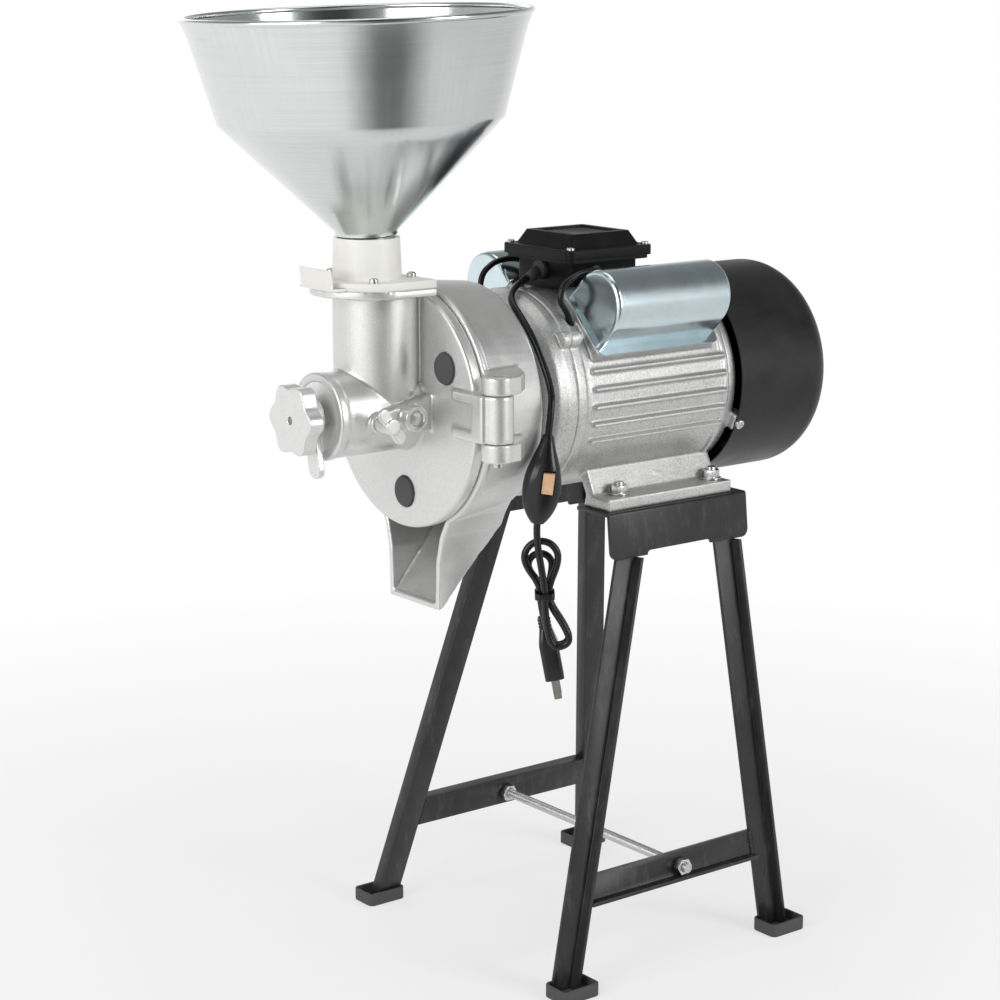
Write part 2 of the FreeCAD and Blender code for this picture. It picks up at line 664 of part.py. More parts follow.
def box_grommets():
    """Rubber rings where the mains lead and the two capacitor leads pass through the box."""
    x, y, z = CORD_HOLE
    end = V(*UPPER_CORD[0])
    axis = end - V(*UPPER_CORD[1])
    start = end + axis * ((x - 1.5 - end.x) / axis.x)
    taper = Part.makeCone(3.8, 5.2, (start - end).Length, end, axis)
    relief = join([cyl_x(x - 3, x, 7.8, y, z), cyl_x(x - 3, x + 3, 6.4, y, z), taper])
    x, z = LEAD_HOLE
    ring = join([cyl_y(BOX_HALF, BOX_HALF + 2, 6, x, z), cyl_y(BOX_HALF - 3, BOX_HALF + 2, 4, x, z)])
    ring = ring.cut(cyl_y(BOX_HALF - 4, BOX_HALF + 3, LEAD_D / 2 + 0.6, x, z))
    return [relief, ring, mirrored(ring)]


def capacitor_leads():
    """Short lead on each side: a loop from the terminal box down into the frame by the capacitor."""
    x, z = LEAD_HOLE
    points = [(x, -BOX_HALF + 2, z), (x, -BOX_HALF - 13, z + 1), (-63, -53, 100), (-81, -53, 98),
              (-94, -52, 90), (-97.5, -51.5, 78)] + list(LEAD_ENDS)
    lead = tube("capacitor_lead", points, LEAD_D)
    return [lead, mirrored(lead)]


def build_terminal_box():
    save("terminal_box", terminal_box())
    save("terminal_box_lid", terminal_lid())
    save("terminal_block", terminal_block())
    save("box_grommets", *box_grommets())
    save("capacitor_leads", *capacitor_leads())


# Rotor
def motor_shaft():
    steps = [(-187, 12), (-134, 12), (-134, 12.5), (-114, 12.5), (-114, 15), (60, 15), (60, 10),
             (82, 10), (82, 8.5), (122, 8.5), (122, 0), (-187, 0)]
    return turn_x(steps)


def cooling_fan():
    """Hub, back plate and straight blades that blow the same way in either direction."""
    blade = box(95, 120, -1.5, 1.5, 14, 70)
    solids = [cyl_x(92, 120, 17), cyl_x(92, 95, 70)] + [rolled(blade, 45 * i) for i in range(8)]
    return join(solids).cut(cyl_x(90, 125, 8.5))


def grinding_disc(x0, x1, bore, groove_side):
    """Cast ring with radial grooves in its working face."""
    disc = ring_x(x0, x1, DISC_R, bore)
    face = x1 if groove_side > 0 else x0
    groove = box(face - 2, face + 2, -1.6, 1.6, bore + 6, DISC_R + 2)
    grooves = [rolled(groove, 15 * i) for i in range(24)]
    return disc.cut(grooves[0].multiFuse(grooves[1:]))


def disc_carrier():
    """Hub and plate on the shaft's end, with a slot that drives the feed screw."""
    carrier = join([cyl_x(-183, -174, 74), cyl_x(-174, -160, 22), cyl_x(-190, -183, 19.5)])
    carrier = carrier.cut(cyl_x(-187.5, -150, 12))
    carrier = carrier.cut(cyl_x(-191, -187, 6))
    return carrier.cut(box(-191, -184.5, -3.2, 3.2, -25, 25))


def bearing_balls():
    """Two rings of balls, one in each bearing."""
    rings = []
    for x, pitch, radius, count in ((-124.5, 19.0, 2.9, 12), (73.0, 17.0, 2.9, 10)):
        ball = Part.makeSphere(radius, V(x, 0, pitch))
        rings += [rolled(ball, 360.0 / count * i) for i in range(count)]
    return rings


def build_rotor():
    save("motor_shaft", motor_shaft())
    save("rotor_core", ring_x(STACK_FRONT, STACK_REAR, ROTOR_R, 15))
    save("cooling_fan", cooling_fan())
    save("disc_carrier", disc_carrier())
    save("rotating_disc", grinding_disc(-192, -183, 30, -1))
    save("bearing_inner_rings", ring_x(-132, -117, 16, 12.5), ring_x(66, 80, 14, 10))
    save("bearing_balls", *bearing_balls())


# Mill
def chute_outline(inset):
    """Half of the chute seen from the front: it leaves the drum's side and narrows to the mouth."""
    half = [(-62, -60), (-56, -72), (-47, -85), (-39, -101), (-34.5, -120), (-CHUTE_HALF, CHUTE_FLOOR)]
    return [(y + inset, z) for y, z in half]


def grinding_housing():
    """Drum open at the front, with the chute below, hinge lugs at one side, clamp lug at the other."""
    drum = Part.makeCone(DRUM_R_FRONT, DRUM_R_REAR, HOUSING_REAR - HOUSING_FRONT,
                         V(HOUSING_FRONT, 0, 0), X)
    flange = cyl_x(HOUSING_FRONT, HOUSING_FRONT + 5, DRUM_R_FRONT + 1)
    left = chute_outline(0)
    outline = left + [(-y, z) for y, z in reversed(left)]
    chute = prism_x(outline, HOUSING_FRONT, HOUSING_REAR)
    slope = [(HOUSING_REAR + 1, -95), (HOUSING_REAR + 1, -200), (HOUSING_FRONT - 20, -200),
             (HOUSING_FRONT - 20, CHUTE_FLOOR - 1), (HOUSING_FRONT + 2, CHUTE_FLOOR),
             (HOUSING_FRONT + 6, CHUTE_FLOOR + 3), (HOUSING_REAR - 10, -111)]
    chute = chute.cut(prism_y(slope, -150, 150))
    lugs = []
    for z0, z1 in ((KNUCKLE_HIGH + 0.5, KNUCKLE_HIGH + 14.5), (KNUCKLE_LOW - 14.5, KNUCKLE_LOW - 0.5)):
        eye = cyl_z(z0, z1, 12.5, PIN_X, PIN_Y)
        tail = prism_z([(PIN_X, PIN_Y - 12.5), (-190, PIN_Y - 10), (-176, PIN_Y + 3), (-166, -88),
                        (HOUSING_FRONT + 0.2, -88), (HOUSING_FRONT + 0.2, PIN_Y + 13)], z0, z1)
        lugs += [eye, tail]
    clamp = box(HOUSING_FRONT, -181, 88, CLAMP_Y + 10, CLAMP_Z - 12, CLAMP_Z + 12)
    clamp = clamp.makeFillet(6, [e for e in clamp.Edges
                                 if e.BoundBox.XLength > 10 and e.BoundBox.YMin > CLAMP_Y])
    body = join([drum, flange, chute, clamp] + lugs)
    inner_left = chute_outline(5)
    inner = inner_left + [(-y, z) for y, z in reversed(inner_left)]
    channel = prism_x(inner, HOUSING_FRONT - 1, HOUSING_REAR - 6)
    floor = [(HOUSING_REAR - 5, -94), (HOUSING_REAR - 5, -200), (HOUSING_FRONT - 20, -200),
             (HOUSING_FRONT - 20, CHUTE_FLOOR + 5), (HOUSING_FRONT + 2, CHUTE_FLOOR + 5),
             (HOUSING_FRONT + 6, CHUTE_FLOOR + 9), (HOUSING_REAR - 15, -109)]
    channel = channel.cut(prism_y(floor, -150, 150))
    body = body.cut(channel)
    body = body.cut(cyl_x(HOUSING_FRONT - 1, HOUSING_REAR - 8, DRUM_BORE))
    body = body.cut(cyl_x(HOUSING_REAR - 10, HOUSING_REAR + 1, 22))
    body = body.cut(cyl_z(-60, 60, PIN_R + 0.02, PIN_X, PIN_Y))
    body = body.cut(cyl_x(HOUSING_FRONT - 1, -178, 5.2, CLAMP_Y, CLAMP_Z))
    for y, z in housing_screw_places():
        body = body.cut(cyl_x(HOUSING_REAR - 10, HOUSING_REAR + 1, 4.3, y, z))
    return body


def housing_screws():
    """Socket screws that hold the housing's back wall to the end bell."""
    screws = []
    for y, z in housing_screw_places():
        head = cyl_x(HOUSING_REAR - 16, HOUSING_REAR - 8, 6.5, y, z)
        shank = cyl_x(HOUSING_REAR - 8, -135, 4, y, z)
        socket = cyl_x(HOUSING_REAR - 17, HOUSING_REAR - 12, 3, y, z)
        screws.append(head.fuse(shank).cut(socket))
    return screws


def rounded_flange(z0, z1, half):
    """Flange plan: round at the front, square where it meets the cover plate."""
    disc = cyl_z(z0, z1, half, FEED_BORE_X)
    square = box(FEED_BORE_X, FLANGE_END, -half, half, z0, z1)
    return disc.fuse(square).removeSplitter().common(box(-400, FLANGE_END, -100, 100, z0, z1))


def plug_places():
    for angle in PLUG_ANGLES:
        a = math.radians(angle)
        yield PLUG_RING * math.cos(a), PLUG_RING * math.sin(a)


def front_cover():
    """Hinged cover casting: round plate, feed tee with its flange, hinge knuckle and clamp ear."""
    plate = cyl_x(COVER_FACE, COVER_BACK, COVER_R)
    plate = plate.makeChamfer(1.5, [e for e in plate.Edges if e.BoundBox.XMax < COVER_FACE + 0.1])
    across = cyl_x(TUBE_END + 4, COVER_FACE + 1, TUBE_R)
    end_ring = cyl_x(TUBE_END, TUBE_END + 7, TUBE_R + 1)
    upright = cyl_z(0, TEE_TOP - 3, TUBE_R, FEED_X)
    upright = upright.common(box(-400, COVER_BACK, -100, 100, -100, 200))
    flange = rounded_flange(TEE_TOP - 6, TEE_TOP, 46)
    knuckle = cyl_z(KNUCKLE_LOW, KNUCKLE_HIGH, 12, PIN_X, PIN_Y)
    proud = COVER_FACE - STRAP_PROUD
    strap = prism_z([(proud, PIN_Y), (COVER_BACK, PIN_Y), (COVER_BACK, -66), (COVER_FACE, -66),
                     (proud, -74)], KNUCKLE_LOW, KNUCKLE_HIGH)
    strap = strap.cut(box(proud - 1, COVER_FACE, -97, -60, KNUCKLE_LOW + 7, KNUCKLE_HIGH - 7))
    ear = box(COVER_FACE, COVER_BACK, 80, CLAMP_Y + 12, CLAMP_Z - 12, CLAMP_Z + 12)
    ear = ear.makeFillet(6, [e for e in ear.Edges
                             if e.BoundBox.XLength > 9 and e.BoundBox.YMin > CLAMP_Y])
    port = cyl_y(-50, -20, 10, -234, -1)
    gusset = prism_y([(-256, 5), (COVER_FACE, 14), (COVER_FACE, -14), (-245, -12)], -40, -20)
    wing_boss = cyl_y(-38, -20, 7.5, WING_X, WING_Z)
    body = join([plate, across, end_ring, upright, flange, knuckle, strap, ear, port, gusset,
                 wing_boss])
    body = body.cut(cyl_x(TUBE_END - 1, COVER_BACK + 1, SCREW_BORE))
    body = body.cut(cyl_x(TUBE_END - 1, -262, 27))
    body = body.cut(cyl_z(0, TEE_TOP + 1, FEED_BORE, FEED_BORE_X))
    body = body.cut(cyl_z(-60, 60, PIN_R + RUN, PIN_X, PIN_Y))
    body = body.cut(cyl_x(COVER_FACE - 1, COVER_BACK + 1, 4.55, CLAMP_Y, CLAMP_Z))
    body = body.cut(cyl_y(-51, -47, 7, -234, -1)).fuse(Part.makeSphere(7.5, V(-234, -42.5, -1)))
    body = body.cut(cyl_x(TUBE_END - 1, COVER_BACK + 1, SCREW_BORE))
    body = body.cut(cyl_y(-60, -20, 4.05, WING_X, WING_Z))
    for y, z in plug_places():
        body = body.cut(cyl_x(COVER_FACE - 1, COVER_FACE + 7, PLUG_R, y, z))
        body = body.cut(cyl_x(COVER_FACE - 1, COVER_BACK + 1, 4.1, y, z))
    for x, y in SEAT_SCREWS:
        body = body.cut(cyl_z(TEE_TOP - 7, TEE_TOP + 1, 2.1, x, y))
    return body


def disc_plugs():
    """Rubber plugs over the screws of the fixed disc."""
    plugs = []
    for y, z in plug_places():
        plug = cyl_x(COVER_FACE - 1.8, COVER_FACE + 3.5, PLUG_R - 0.1, y, z)
        rim = [e for e in plug.Edges if e.BoundBox.XMax < COVER_FACE - 1]
        plugs.append(plug.makeFillet(1.2, rim))
    return plugs


def fixed_disc():
    disc = grinding_disc(COVER_BACK, -193, 25, 1)
    for y, z in plug_places():
        disc = disc.cut(cyl_x(COVER_BACK - 1, -196, 4.0, y, z))
    return disc


def fixed_disc_screws():
    screws = []
    for y, z in plug_places():
        head = cyl_x(COVER_FACE + 4, COVER_FACE + 7, 6.5, y, z)
        screws.append(head.fuse(cyl_x(COVER_FACE + 6, -196.5, 4.0, y, z)))
    return screws


def hopper_seat():
    """Moulded seat: flange over the tee, gate slot underneath, tapered neck for the hopper."""
    flange_top = TEE_TOP + SEAT_FLANGE
    flange = rounded_flange(TEE_TOP, flange_top, 44)
    neck = Part.makeCone(26.6, 25.5, SEAT_TOP - flange_top, V(HOPPER_X, 0, flange_top), Z)
    seat = join([flange, neck])
    seat = seat.cut(cyl_z(TEE_TOP - 1, SEAT_TOP + 1, SEAT_BORE, HOPPER_X))
    seat = seat.cut(box(-300, -217, -23.3, 23.3, TEE_TOP - 1, TEE_TOP + 2.4))
    for x, y in SEAT_SCREWS:
        seat = seat.cut(cyl_z(TEE_TOP - 1, flange_top + 1, 2.1, x, y))
    return seat


def seat_screws():
    return [pan_screw((x, y, TEE_TOP + SEAT_FLANGE), Z, 3.6, 3.8, 2.0, 11.5)
            for x, y in SEAT_SCREWS]


def feed_gate():
    """Sliding plate under the hopper with an upturned handle."""
    plate = box(-291, -219, -23, 23, TEE_TOP + 0.2, TEE_TOP + 2.2)
    tab = prism_y([(-291, TEE_TOP + 0.2), (-288.5, TEE_TOP + 0.2), (-290.5, TEE_TOP + 16),
                   (-293, TEE_TOP + 16)], -20, 20)
    return join([plate, tab])


def hopper():
    """Spun funnel with a spigot, a wide cone, a steep upper wall and a rolled rim.

    The spigot is loose in its seat, so the funnel leans a little away from the motor.
    """
    wall = 1.1
    neck = 24.0
    profile = [(19.8, 113), (20.9, 113), (20.9, SEAT_TOP + 0.5), (neck, SEAT_TOP + 1.9),
               (neck, SEAT_TOP + 4.5), (SHOULDER_R, SHOULDER_Z), (RIM_R, RIM_Z),
               (RIM_R - wall, RIM_Z), (SHOULDER_R - wall, SHOULDER_Z + 0.4),
               (neck - wall, SEAT_TOP + 5), (neck - wall, SEAT_TOP + 2.4), (19.8, SEAT_TOP)]
    funnel = turn_z(profile, HOPPER_X)
    bead = Part.makeTorus(RIM_R, BEAD_R, V(HOPPER_X, 0, RIM_Z), Z)
    whole = join([funnel, bead])
    whole.rotate(V(HOPPER_X, 0, SEAT_TOP), Y, -HOPPER_LEAN)
    return whole


def feed_auger():
    """Feed screw: a core with a helical flight and a tang that sits in the carrier's slot."""
    start, turns, pitch = -276.0, 2.6, 30.0
    core = cyl_x(start - 3, -196, 9)
    helix = Part.makeHelix(pitch, pitch * turns, 15.0)
    profile = Part.makePolygon([V(7, 0, -2), V(22.5, 0, -1.2), V(22.5, 0, 1.2), V(7, 0, 2), V(7, 0, -2)])
    flight = Part.Wire(helix).makePipeShell([profile], True, True)
    flight.Placement = FreeCAD.Placement(V(start, 0, 0), FreeCAD.Rotation(Z, X))
    tang = box(-197, -187.4, -2.2, 2.2, -8.5, 8.5)
    return join([core, flight, tang])


def thrust_sleeve():
    """Bush in the tee's end that carries the adjusting screw and backs the feed screw."""
    sleeve = cyl_x(TUBE_END + 1, -264, 27 - RUN)
    sleeve = sleeve.cut(cyl_x(-281, -263, 23.5))
    return sleeve.cut(cyl_x(TUBE_END, -278, 8.05))


def adjusting_knob():
    """Six-lobed hand wheel on a threaded stem."""
    front, back, mean, lobe = -317.0, -304.5, 26.3, 2.4
    points = []
    for i in range(72):
        a = math.radians(5 * i)
        r = mean + lobe * math.cos(6 * a)
        points.append(V(front, r * math.cos(a), r * math.sin(a)))
    outline = Part.BSplineCurve()
    outline.interpolate(points, PeriodicFlag=True)
    wheel = Part.Face(Part.Wire(outline.toShape())).extrude(V(back - front, 0, 0))
    socket = cyl_x(front - 1, front + 6, 3)
    stem = cyl_x(back, -283, 8)
    collar = Part.makeCone(15, 10, 3, V(back, 0, 0), X)
    return join([wheel, collar, stem]).cut(socket)


def lock_ring():
    """Ring nut on the adjusting screw, with a lever that hangs down."""
    hub = cyl_x(-301.2, -296, 17)
    arm = box(-301.2, -296, -7.5, 7.5, -39, 0)
    tip = cyl_x(-301.2, -296, 7.5, 0, -39)
    lever = join([hub, arm, tip])
    lever = rolled(lever, -12)
    return lever.cut(cyl_x(-302, -295, 8.4))


def wing_screw():
    """Lock screw with two wings, in the tee's near side."""
    shank = cyl_y(-46, -27.4, 4.0, WING_X, WING_Z)
    hub = cyl_y(-56, -38.6, 6.0, WING_X, WING_Z)
    wings = []
    for side in (-1, 1):
        blade = prism_y([(WING_X, WING_Z - 4), (WING_X + side * 12, WING_Z - 4.8),
                         (WING_X + side * 12, WING_Z + 4.8), (WING_X, WING_Z + 4)], -54.5, -51)
        tip = cyl_y(-54.5, -51, 4.8, WING_X + side * 12, WING_Z)
        wings += [blade, tip]
    screw = join([shank, hub] + wings)
    screw.rotate(V(WING_X, 0, WING_Z), Y, 52)
    return screw


def clamp_screw():
    """Captive screw with a lobed grip that clamps the cover's free side."""
    points = []
    for i in range(48):
        a = math.radians(7.5 * i)
        r = 14.0 + 1.6 * math.cos(6 * a)
        points.append(V(COVER_FACE - 14, CLAMP_Y + r * math.cos(a), CLAMP_Z + r * math.sin(a)))
    outline = Part.BSplineCurve()
    outline.interpolate(points, PeriodicFlag=True)
    grip = Part.Face(Part.Wire(outline.toShape())).extrude(V(11, 0, 0))
    neck = cyl_x(COVER_FACE - 4, COVER_FACE - GAP, 8, CLAMP_Y, CLAMP_Z)
    shank = cyl_x(COVER_FACE - 1, COVER_BACK + 1, 4.5, CLAMP_Y, CLAMP_Z)
    thread = cyl_x(COVER_BACK, -190, 4.0, CLAMP_Y, CLAMP_Z)
    return join([grip, neck, shank, thread])


def build_mill():
    save("grinding_housing", grinding_housing())
    save("housing_screws", *housing_screws())
    save("hinge_pin", cyl_z(KNUCKLE_LOW - 19, KNUCKLE_HIGH + 14, PIN_R, PIN_X, PIN_Y))
    save("shaft_seal", ring_x(HOUSING_REAR - 8, HOUSING_REAR - 0.2, 22, 12.3))
    save("front_cover", front_cover())
    save("disc_plugs", *disc_plugs())
    save("fixed_disc", fixed_disc())
    save("fixed_disc_screws", *fixed_disc_screws())
    save("hopper_seat", hopper_seat())
    save("seat_screws", *seat_screws())
    save("feed_gate", feed_gate())
    save("hopper", hopper())
    save("feed_auger", feed_auger())
    save("thrust_sleeve", thrust_sleeve())
    save("adjusting_knob", adjusting_knob())
    save("lock_ring", lock_ring())
    save("wing_screw", wing_screw())
    save("clamp_screw", clamp_screw())


# Mains lead
def across(s, d, z):
    """Point of the hank's frame: s across its face, d behind it, z up."""
    c, t = math.cos(math.radians(HANK_TURN)), math.sin(math.radians(HANK_TURN))
    return HANK_AT[0] + s * c - d * t, HANK_AT[1] + s * t + d * c, z


def along(start, tilt, length):
    """Point of the hank's frame a length further down a tilted axis."""
    a = math.radians(tilt)
    return start[0] + length * math.sin(a), start[1], start[2] - length * math.cos(a)


def upper_route():
    return list(UPPER_CORD) + [across(*along(SWITCH_TOP, SWITCH_TILT, -20)), across(*SWITCH_TOP)]


def hank_route():
    """Entry in front, then two turns through the waist, each a layer further back, and the exit."""
    def lobe(s, z, radius, d):
        corner = radius / math.cos(math.radians(22.5))
        for step in range(6):
            a = math.radians(-22.5 + 45 * step)
            yield s + corner * math.cos(a), d, z + corner * math.sin(a)

    def fold(length, d):
        s, d, z = along((0, d, WAIST - 4), FOLD_TILT, length)
        a = math.radians(FOLD_TILT)
        yield s - FOLD_R * math.cos(a), d, z - FOLD_R * math.sin(a)
        yield s + FOLD_R * math.cos(a), d, z + FOLD_R * math.sin(a)

    above, below = WAIST + 7, WAIST - 7
    points = [along(SWITCH_TOP, SWITCH_TILT, SWITCH_LENGTH),
              along(SWITCH_TOP, SWITCH_TILT, SWITCH_LENGTH + 10.5),
              (0, -LAYER, above), (0, -LAYER, below)]
    points += list(fold(FOLD_LENGTH, -LAYER))
    points += [(STRAND, 0, below), (STRAND, 0, above)]
    points += list(lobe(-2.8, -114, 13, 0))
    points += [(-STRAND, 0, above), (-STRAND, 0, below)]
    points += list(fold(FOLD_LENGTH, 0))
    points += [(STRAND, LAYER, below), (STRAND, LAYER, above)]
    points += list(lobe(-3.5, -121.4, 9.15, LAYER))
    points += [(-STRAND, LAYER, above), (-STRAND, LAYER, WAIST - 4),
               along(PLUG_TOP, PLUG_TILT, -10.5), PLUG_TOP]
    return [across(*p) for p in points]


def least_gap(points, diameter):
    """Smallest clear distance between stretches of the tube that aren't neighbours along it."""
    wire = route_wire(points)[0]
    steps = int(wire.Length)
    places = wire.discretize(Number=steps)
    apart = int(2.2 * diameter)
    return min((places[i] - places[j]).Length for i in range(steps)
               for j in range(i + apart, steps)) - diameter


def hung(shape, top, tilt):
    """Piece drawn about an axis from the origin down to -z, with its face at -y, put in place."""
    placed = shape.copy()
    placed.rotate(V(0, 0, 0), Y, -tilt)
    placed.rotate(V(0, 0, 0), Z, HANK_TURN)
    placed.translate(V(*across(*top)))
    return placed


def oval(z, wide, deep):
    if wide == deep:
        return Part.Wire(Part.Circle(V(0, 0, z), Z, wide).toShape())
    return Part.Wire(Part.Ellipse(V(wide, 0, z), V(0, deep, z), V(0, 0, z)).toShape())


def switch_body():
    """Lens-shaped body with tapered ends and a pocket for the rocker."""
    sections = [oval(0, 4.4, 4.3), oval(-14, 8.5, 6.6), oval(-32, 14.0, 9.4),
                oval(-48, 14.6, 9.6), oval(-60, 11.2, 8.0), oval(-SWITCH_LENGTH, 5.0, 4.4)]
    body = Part.makeLoft(sections, True, False)
    pocket = box(-0.8, 9.2, -12, ROCKER_DEEP + 2, ROCKER_AT - 9.4, ROCKER_AT + 9.4)
    pivot = cyl_x(-1.8, 10.2, ROCKER_PIN + RUN, ROCKER_DEEP, ROCKER_AT)
    return hung(body.cut(pocket).cut(pivot), SWITCH_TOP, SWITCH_TILT)


def switch_rocker():
    """Rocker on its pin, with its lower end pressed in."""
    block = prism_x([(-4.8, ROCKER_AT - 8.2), (-9.2, ROCKER_AT - 8.2), (-8.6, ROCKER_AT),
                     (-9.2, ROCKER_AT + 8.2), (-4.8, ROCKER_AT + 8.2)], -0.2, 8.6)
    hub = cyl_x(-0.2, 8.6, 1.8, ROCKER_DEEP, ROCKER_AT)
    pin = cyl_x(-1.6, 10.0, ROCKER_PIN, ROCKER_DEEP, ROCKER_AT)
    rocker = join([block, hub, pin])
    rocker.rotate(V(0, ROCKER_DEEP, ROCKER_AT), X, 6)
    return hung(rocker, SWITCH_TOP, SWITCH_TILT)


def plug_body():
    """Flat moulded plug: a ribbed neck and a body that is deeper than it is wide."""
    def section(z, wide, deep, corner):
        block = box(-wide, wide, -deep, deep, z - 1, z)
        block = block.makeFillet(corner, [e for e in block.Edges if e.BoundBox.ZLength > 0.9])
        face = max((f for f in block.Faces if abs(f.normalAt(0, 0).z) > 0.9),
                   key=lambda f: f.CenterOfMass.z)
        return face.OuterWire
    neck = Part.makeCone(4.0, 4.6, 11, V(0, 0, -11), Z).cut(cyl_z(-12, -11, 6))
    body = Part.makeLoft([section(-9, 4.8, 5.6, 3.4), section(-22, 7.6, 9.2, 3.4),
                          section(-PLUG_LENGTH, 7.6, 9.8, 3.4)], True, True)
    ribs = [cyl_z(z, z + 1.4, 5.2) for z in (-3.4, -6.2, -9)]
    return hung(join([neck, body] + ribs), PLUG_TOP, PLUG_TILT)


def plug_blades():
    blades = []
    for y in (-6.35, 6.35):
        blade = box(-3.15, 3.15, y - 0.75, y + 0.75, -PLUG_LENGTH - 16, -PLUG_LENGTH)
        blade = blade.makeFillet(1.2, [e for e in blade.Edges if e.BoundBox.YLength > 1
                                       and e.BoundBox.ZMax < -PLUG_LENGTH - 1])
        blades.append(hung(blade, PLUG_TOP, PLUG_TILT))
    return blades


def cord_tie():
    """Band round the five strands at the waist."""
    outer = box(-7.8, 7.8, -LAYER - 4.6, LAYER + 4.6, WAIST - 2.5, WAIST + 2.5)
    outer = outer.makeFillet(4, [e for e in outer.Edges if e.BoundBox.ZLength > 4])
    inner = box(-6.7, 6.7, -LAYER - 3.5, LAYER + 3.5, WAIST - 4, WAIST + 4)
    inner = inner.makeFillet(2.8, [e for e in inner.Edges if e.BoundBox.ZLength > 4])
    return hung(outer.cut(inner), (0, 0, 0), 0)


def build_lead():
    save("power_cord_upper", tube("power_cord_upper", upper_route(), CORD_D))
    save("switch_body", switch_body())
    save("switch_rocker", switch_rocker())
    save("power_cord_hank", tube("power_cord_hank", hank_route(), CORD_D))
    print("least gap in hank %.2f" % least_gap(hank_route(), CORD_D))
    save("cord_tie", cord_tie())
    save("plug_body", plug_body())
    save("plug_blades", *plug_blades())


os.makedirs("parts", exist_ok=True)
build_stand()
build_motor()
save("motor_bolts", *motor_bolts())
save("motor_screws", *motor_screws())
build_terminal_box()
build_rotor()
build_mill()
build_lead()
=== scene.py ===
import json
import math
import random

import bmesh
import bpy
from bpy.props import FloatProperty, FloatVectorProperty, IntProperty, PointerProperty
from mathutils import Matrix, Vector

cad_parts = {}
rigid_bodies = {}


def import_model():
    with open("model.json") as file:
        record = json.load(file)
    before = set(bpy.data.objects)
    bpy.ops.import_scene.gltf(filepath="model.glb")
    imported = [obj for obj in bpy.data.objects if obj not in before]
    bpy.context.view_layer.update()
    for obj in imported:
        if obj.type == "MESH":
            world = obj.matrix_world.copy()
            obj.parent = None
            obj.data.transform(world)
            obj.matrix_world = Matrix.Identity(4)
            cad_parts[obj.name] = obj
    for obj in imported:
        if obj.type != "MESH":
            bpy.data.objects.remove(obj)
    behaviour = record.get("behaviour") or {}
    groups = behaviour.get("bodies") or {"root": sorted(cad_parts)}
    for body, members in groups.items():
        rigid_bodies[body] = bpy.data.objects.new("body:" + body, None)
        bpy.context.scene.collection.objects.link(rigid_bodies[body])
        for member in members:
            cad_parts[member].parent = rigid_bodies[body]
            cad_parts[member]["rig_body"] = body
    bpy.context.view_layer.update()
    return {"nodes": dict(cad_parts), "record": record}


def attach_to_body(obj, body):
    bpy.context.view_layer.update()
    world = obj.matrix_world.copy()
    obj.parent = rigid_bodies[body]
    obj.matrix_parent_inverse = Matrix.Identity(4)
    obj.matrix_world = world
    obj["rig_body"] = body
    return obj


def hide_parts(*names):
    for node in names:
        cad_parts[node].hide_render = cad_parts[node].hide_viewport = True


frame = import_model()
NODES = frame["nodes"]
SLOTS = {entry["node"]: entry["material_slot"] for entry in frame["record"]["subparts"]}

bl_info = {
    "name": "Food grinder",
    "version": (1, 0, 0),
    "blender": (4, 5, 0),
    "location": "View3D > Sidebar > Grinder",
    "description": "Dresses the grinder's fixed frame: castings, funnel, sheet covers, lead and stage",
    "category": "Object",
}

# The row frame's origin in millimetres from the motor's own: half way along, and down to the floor
MOTOR_TO_ROW = (105.238, 0.0, 464.0)
CAMERA_YAW = 52.27
CAMERA_DROP = 12.36


class GrinderFinish(bpy.types.PropertyGroup):
    """Colours of the visible surfaces."""

    mill_silver: FloatVectorProperty(
        name="Mill silver", description="Silver enamel on the mill's castings", subtype="COLOR",
        size=3, min=0, max=1, default=(0.73, 0.73, 0.72))
    small_silver: FloatVectorProperty(
        name="Small castings", description="Brighter enamel of knobs and screws", subtype="COLOR",
        size=3, min=0, max=1, default=(0.78, 0.78, 0.77))
    motor_silver: FloatVectorProperty(
        name="Motor silver", description="Silver enamel on the motor's rougher castings",
        subtype="COLOR", size=3, min=0, max=1, default=(0.66, 0.66, 0.65))
    funnel_steel: FloatVectorProperty(
        name="Funnel steel", description="Spun stainless sheet of the funnel", subtype="COLOR",
        size=3, min=0, max=1, default=(0.71, 0.74, 0.73))
    zinc_blue: FloatVectorProperty(
        name="Blue zinc", description="Plating of the capacitor covers", subtype="COLOR",
        size=3, min=0, max=1, default=(0.68, 0.79, 0.83))
    zinc_bright: FloatVectorProperty(
        name="Bright zinc", description="Plating of bolts, nuts and the tie rod", subtype="COLOR",
        size=3, min=0, max=1, default=(0.68, 0.69, 0.68))
    stand_black: FloatVectorProperty(
        name="Stand black", description="Paint of the stand's irons", subtype="COLOR",
        size=3, min=0, max=1, default=(0.012, 0.012, 0.013))
    cover_black: FloatVectorProperty(
        name="Fan cover black", description="Paint of the fan cover", subtype="COLOR",
        size=3, min=0, max=1, default=(0.010, 0.010, 0.011))
    seat_white: FloatVectorProperty(
        name="Seat white", description="Moulded plastic under the funnel", subtype="COLOR",
        size=3, min=0, max=1, default=(0.88, 0.87, 0.83))
    rocker_tan: FloatVectorProperty(
        name="Rocker tan", description="Moulded rocker of the lead's switch", subtype="COLOR",
        size=3, min=0, max=1, default=(0.75, 0.48, 0.28))


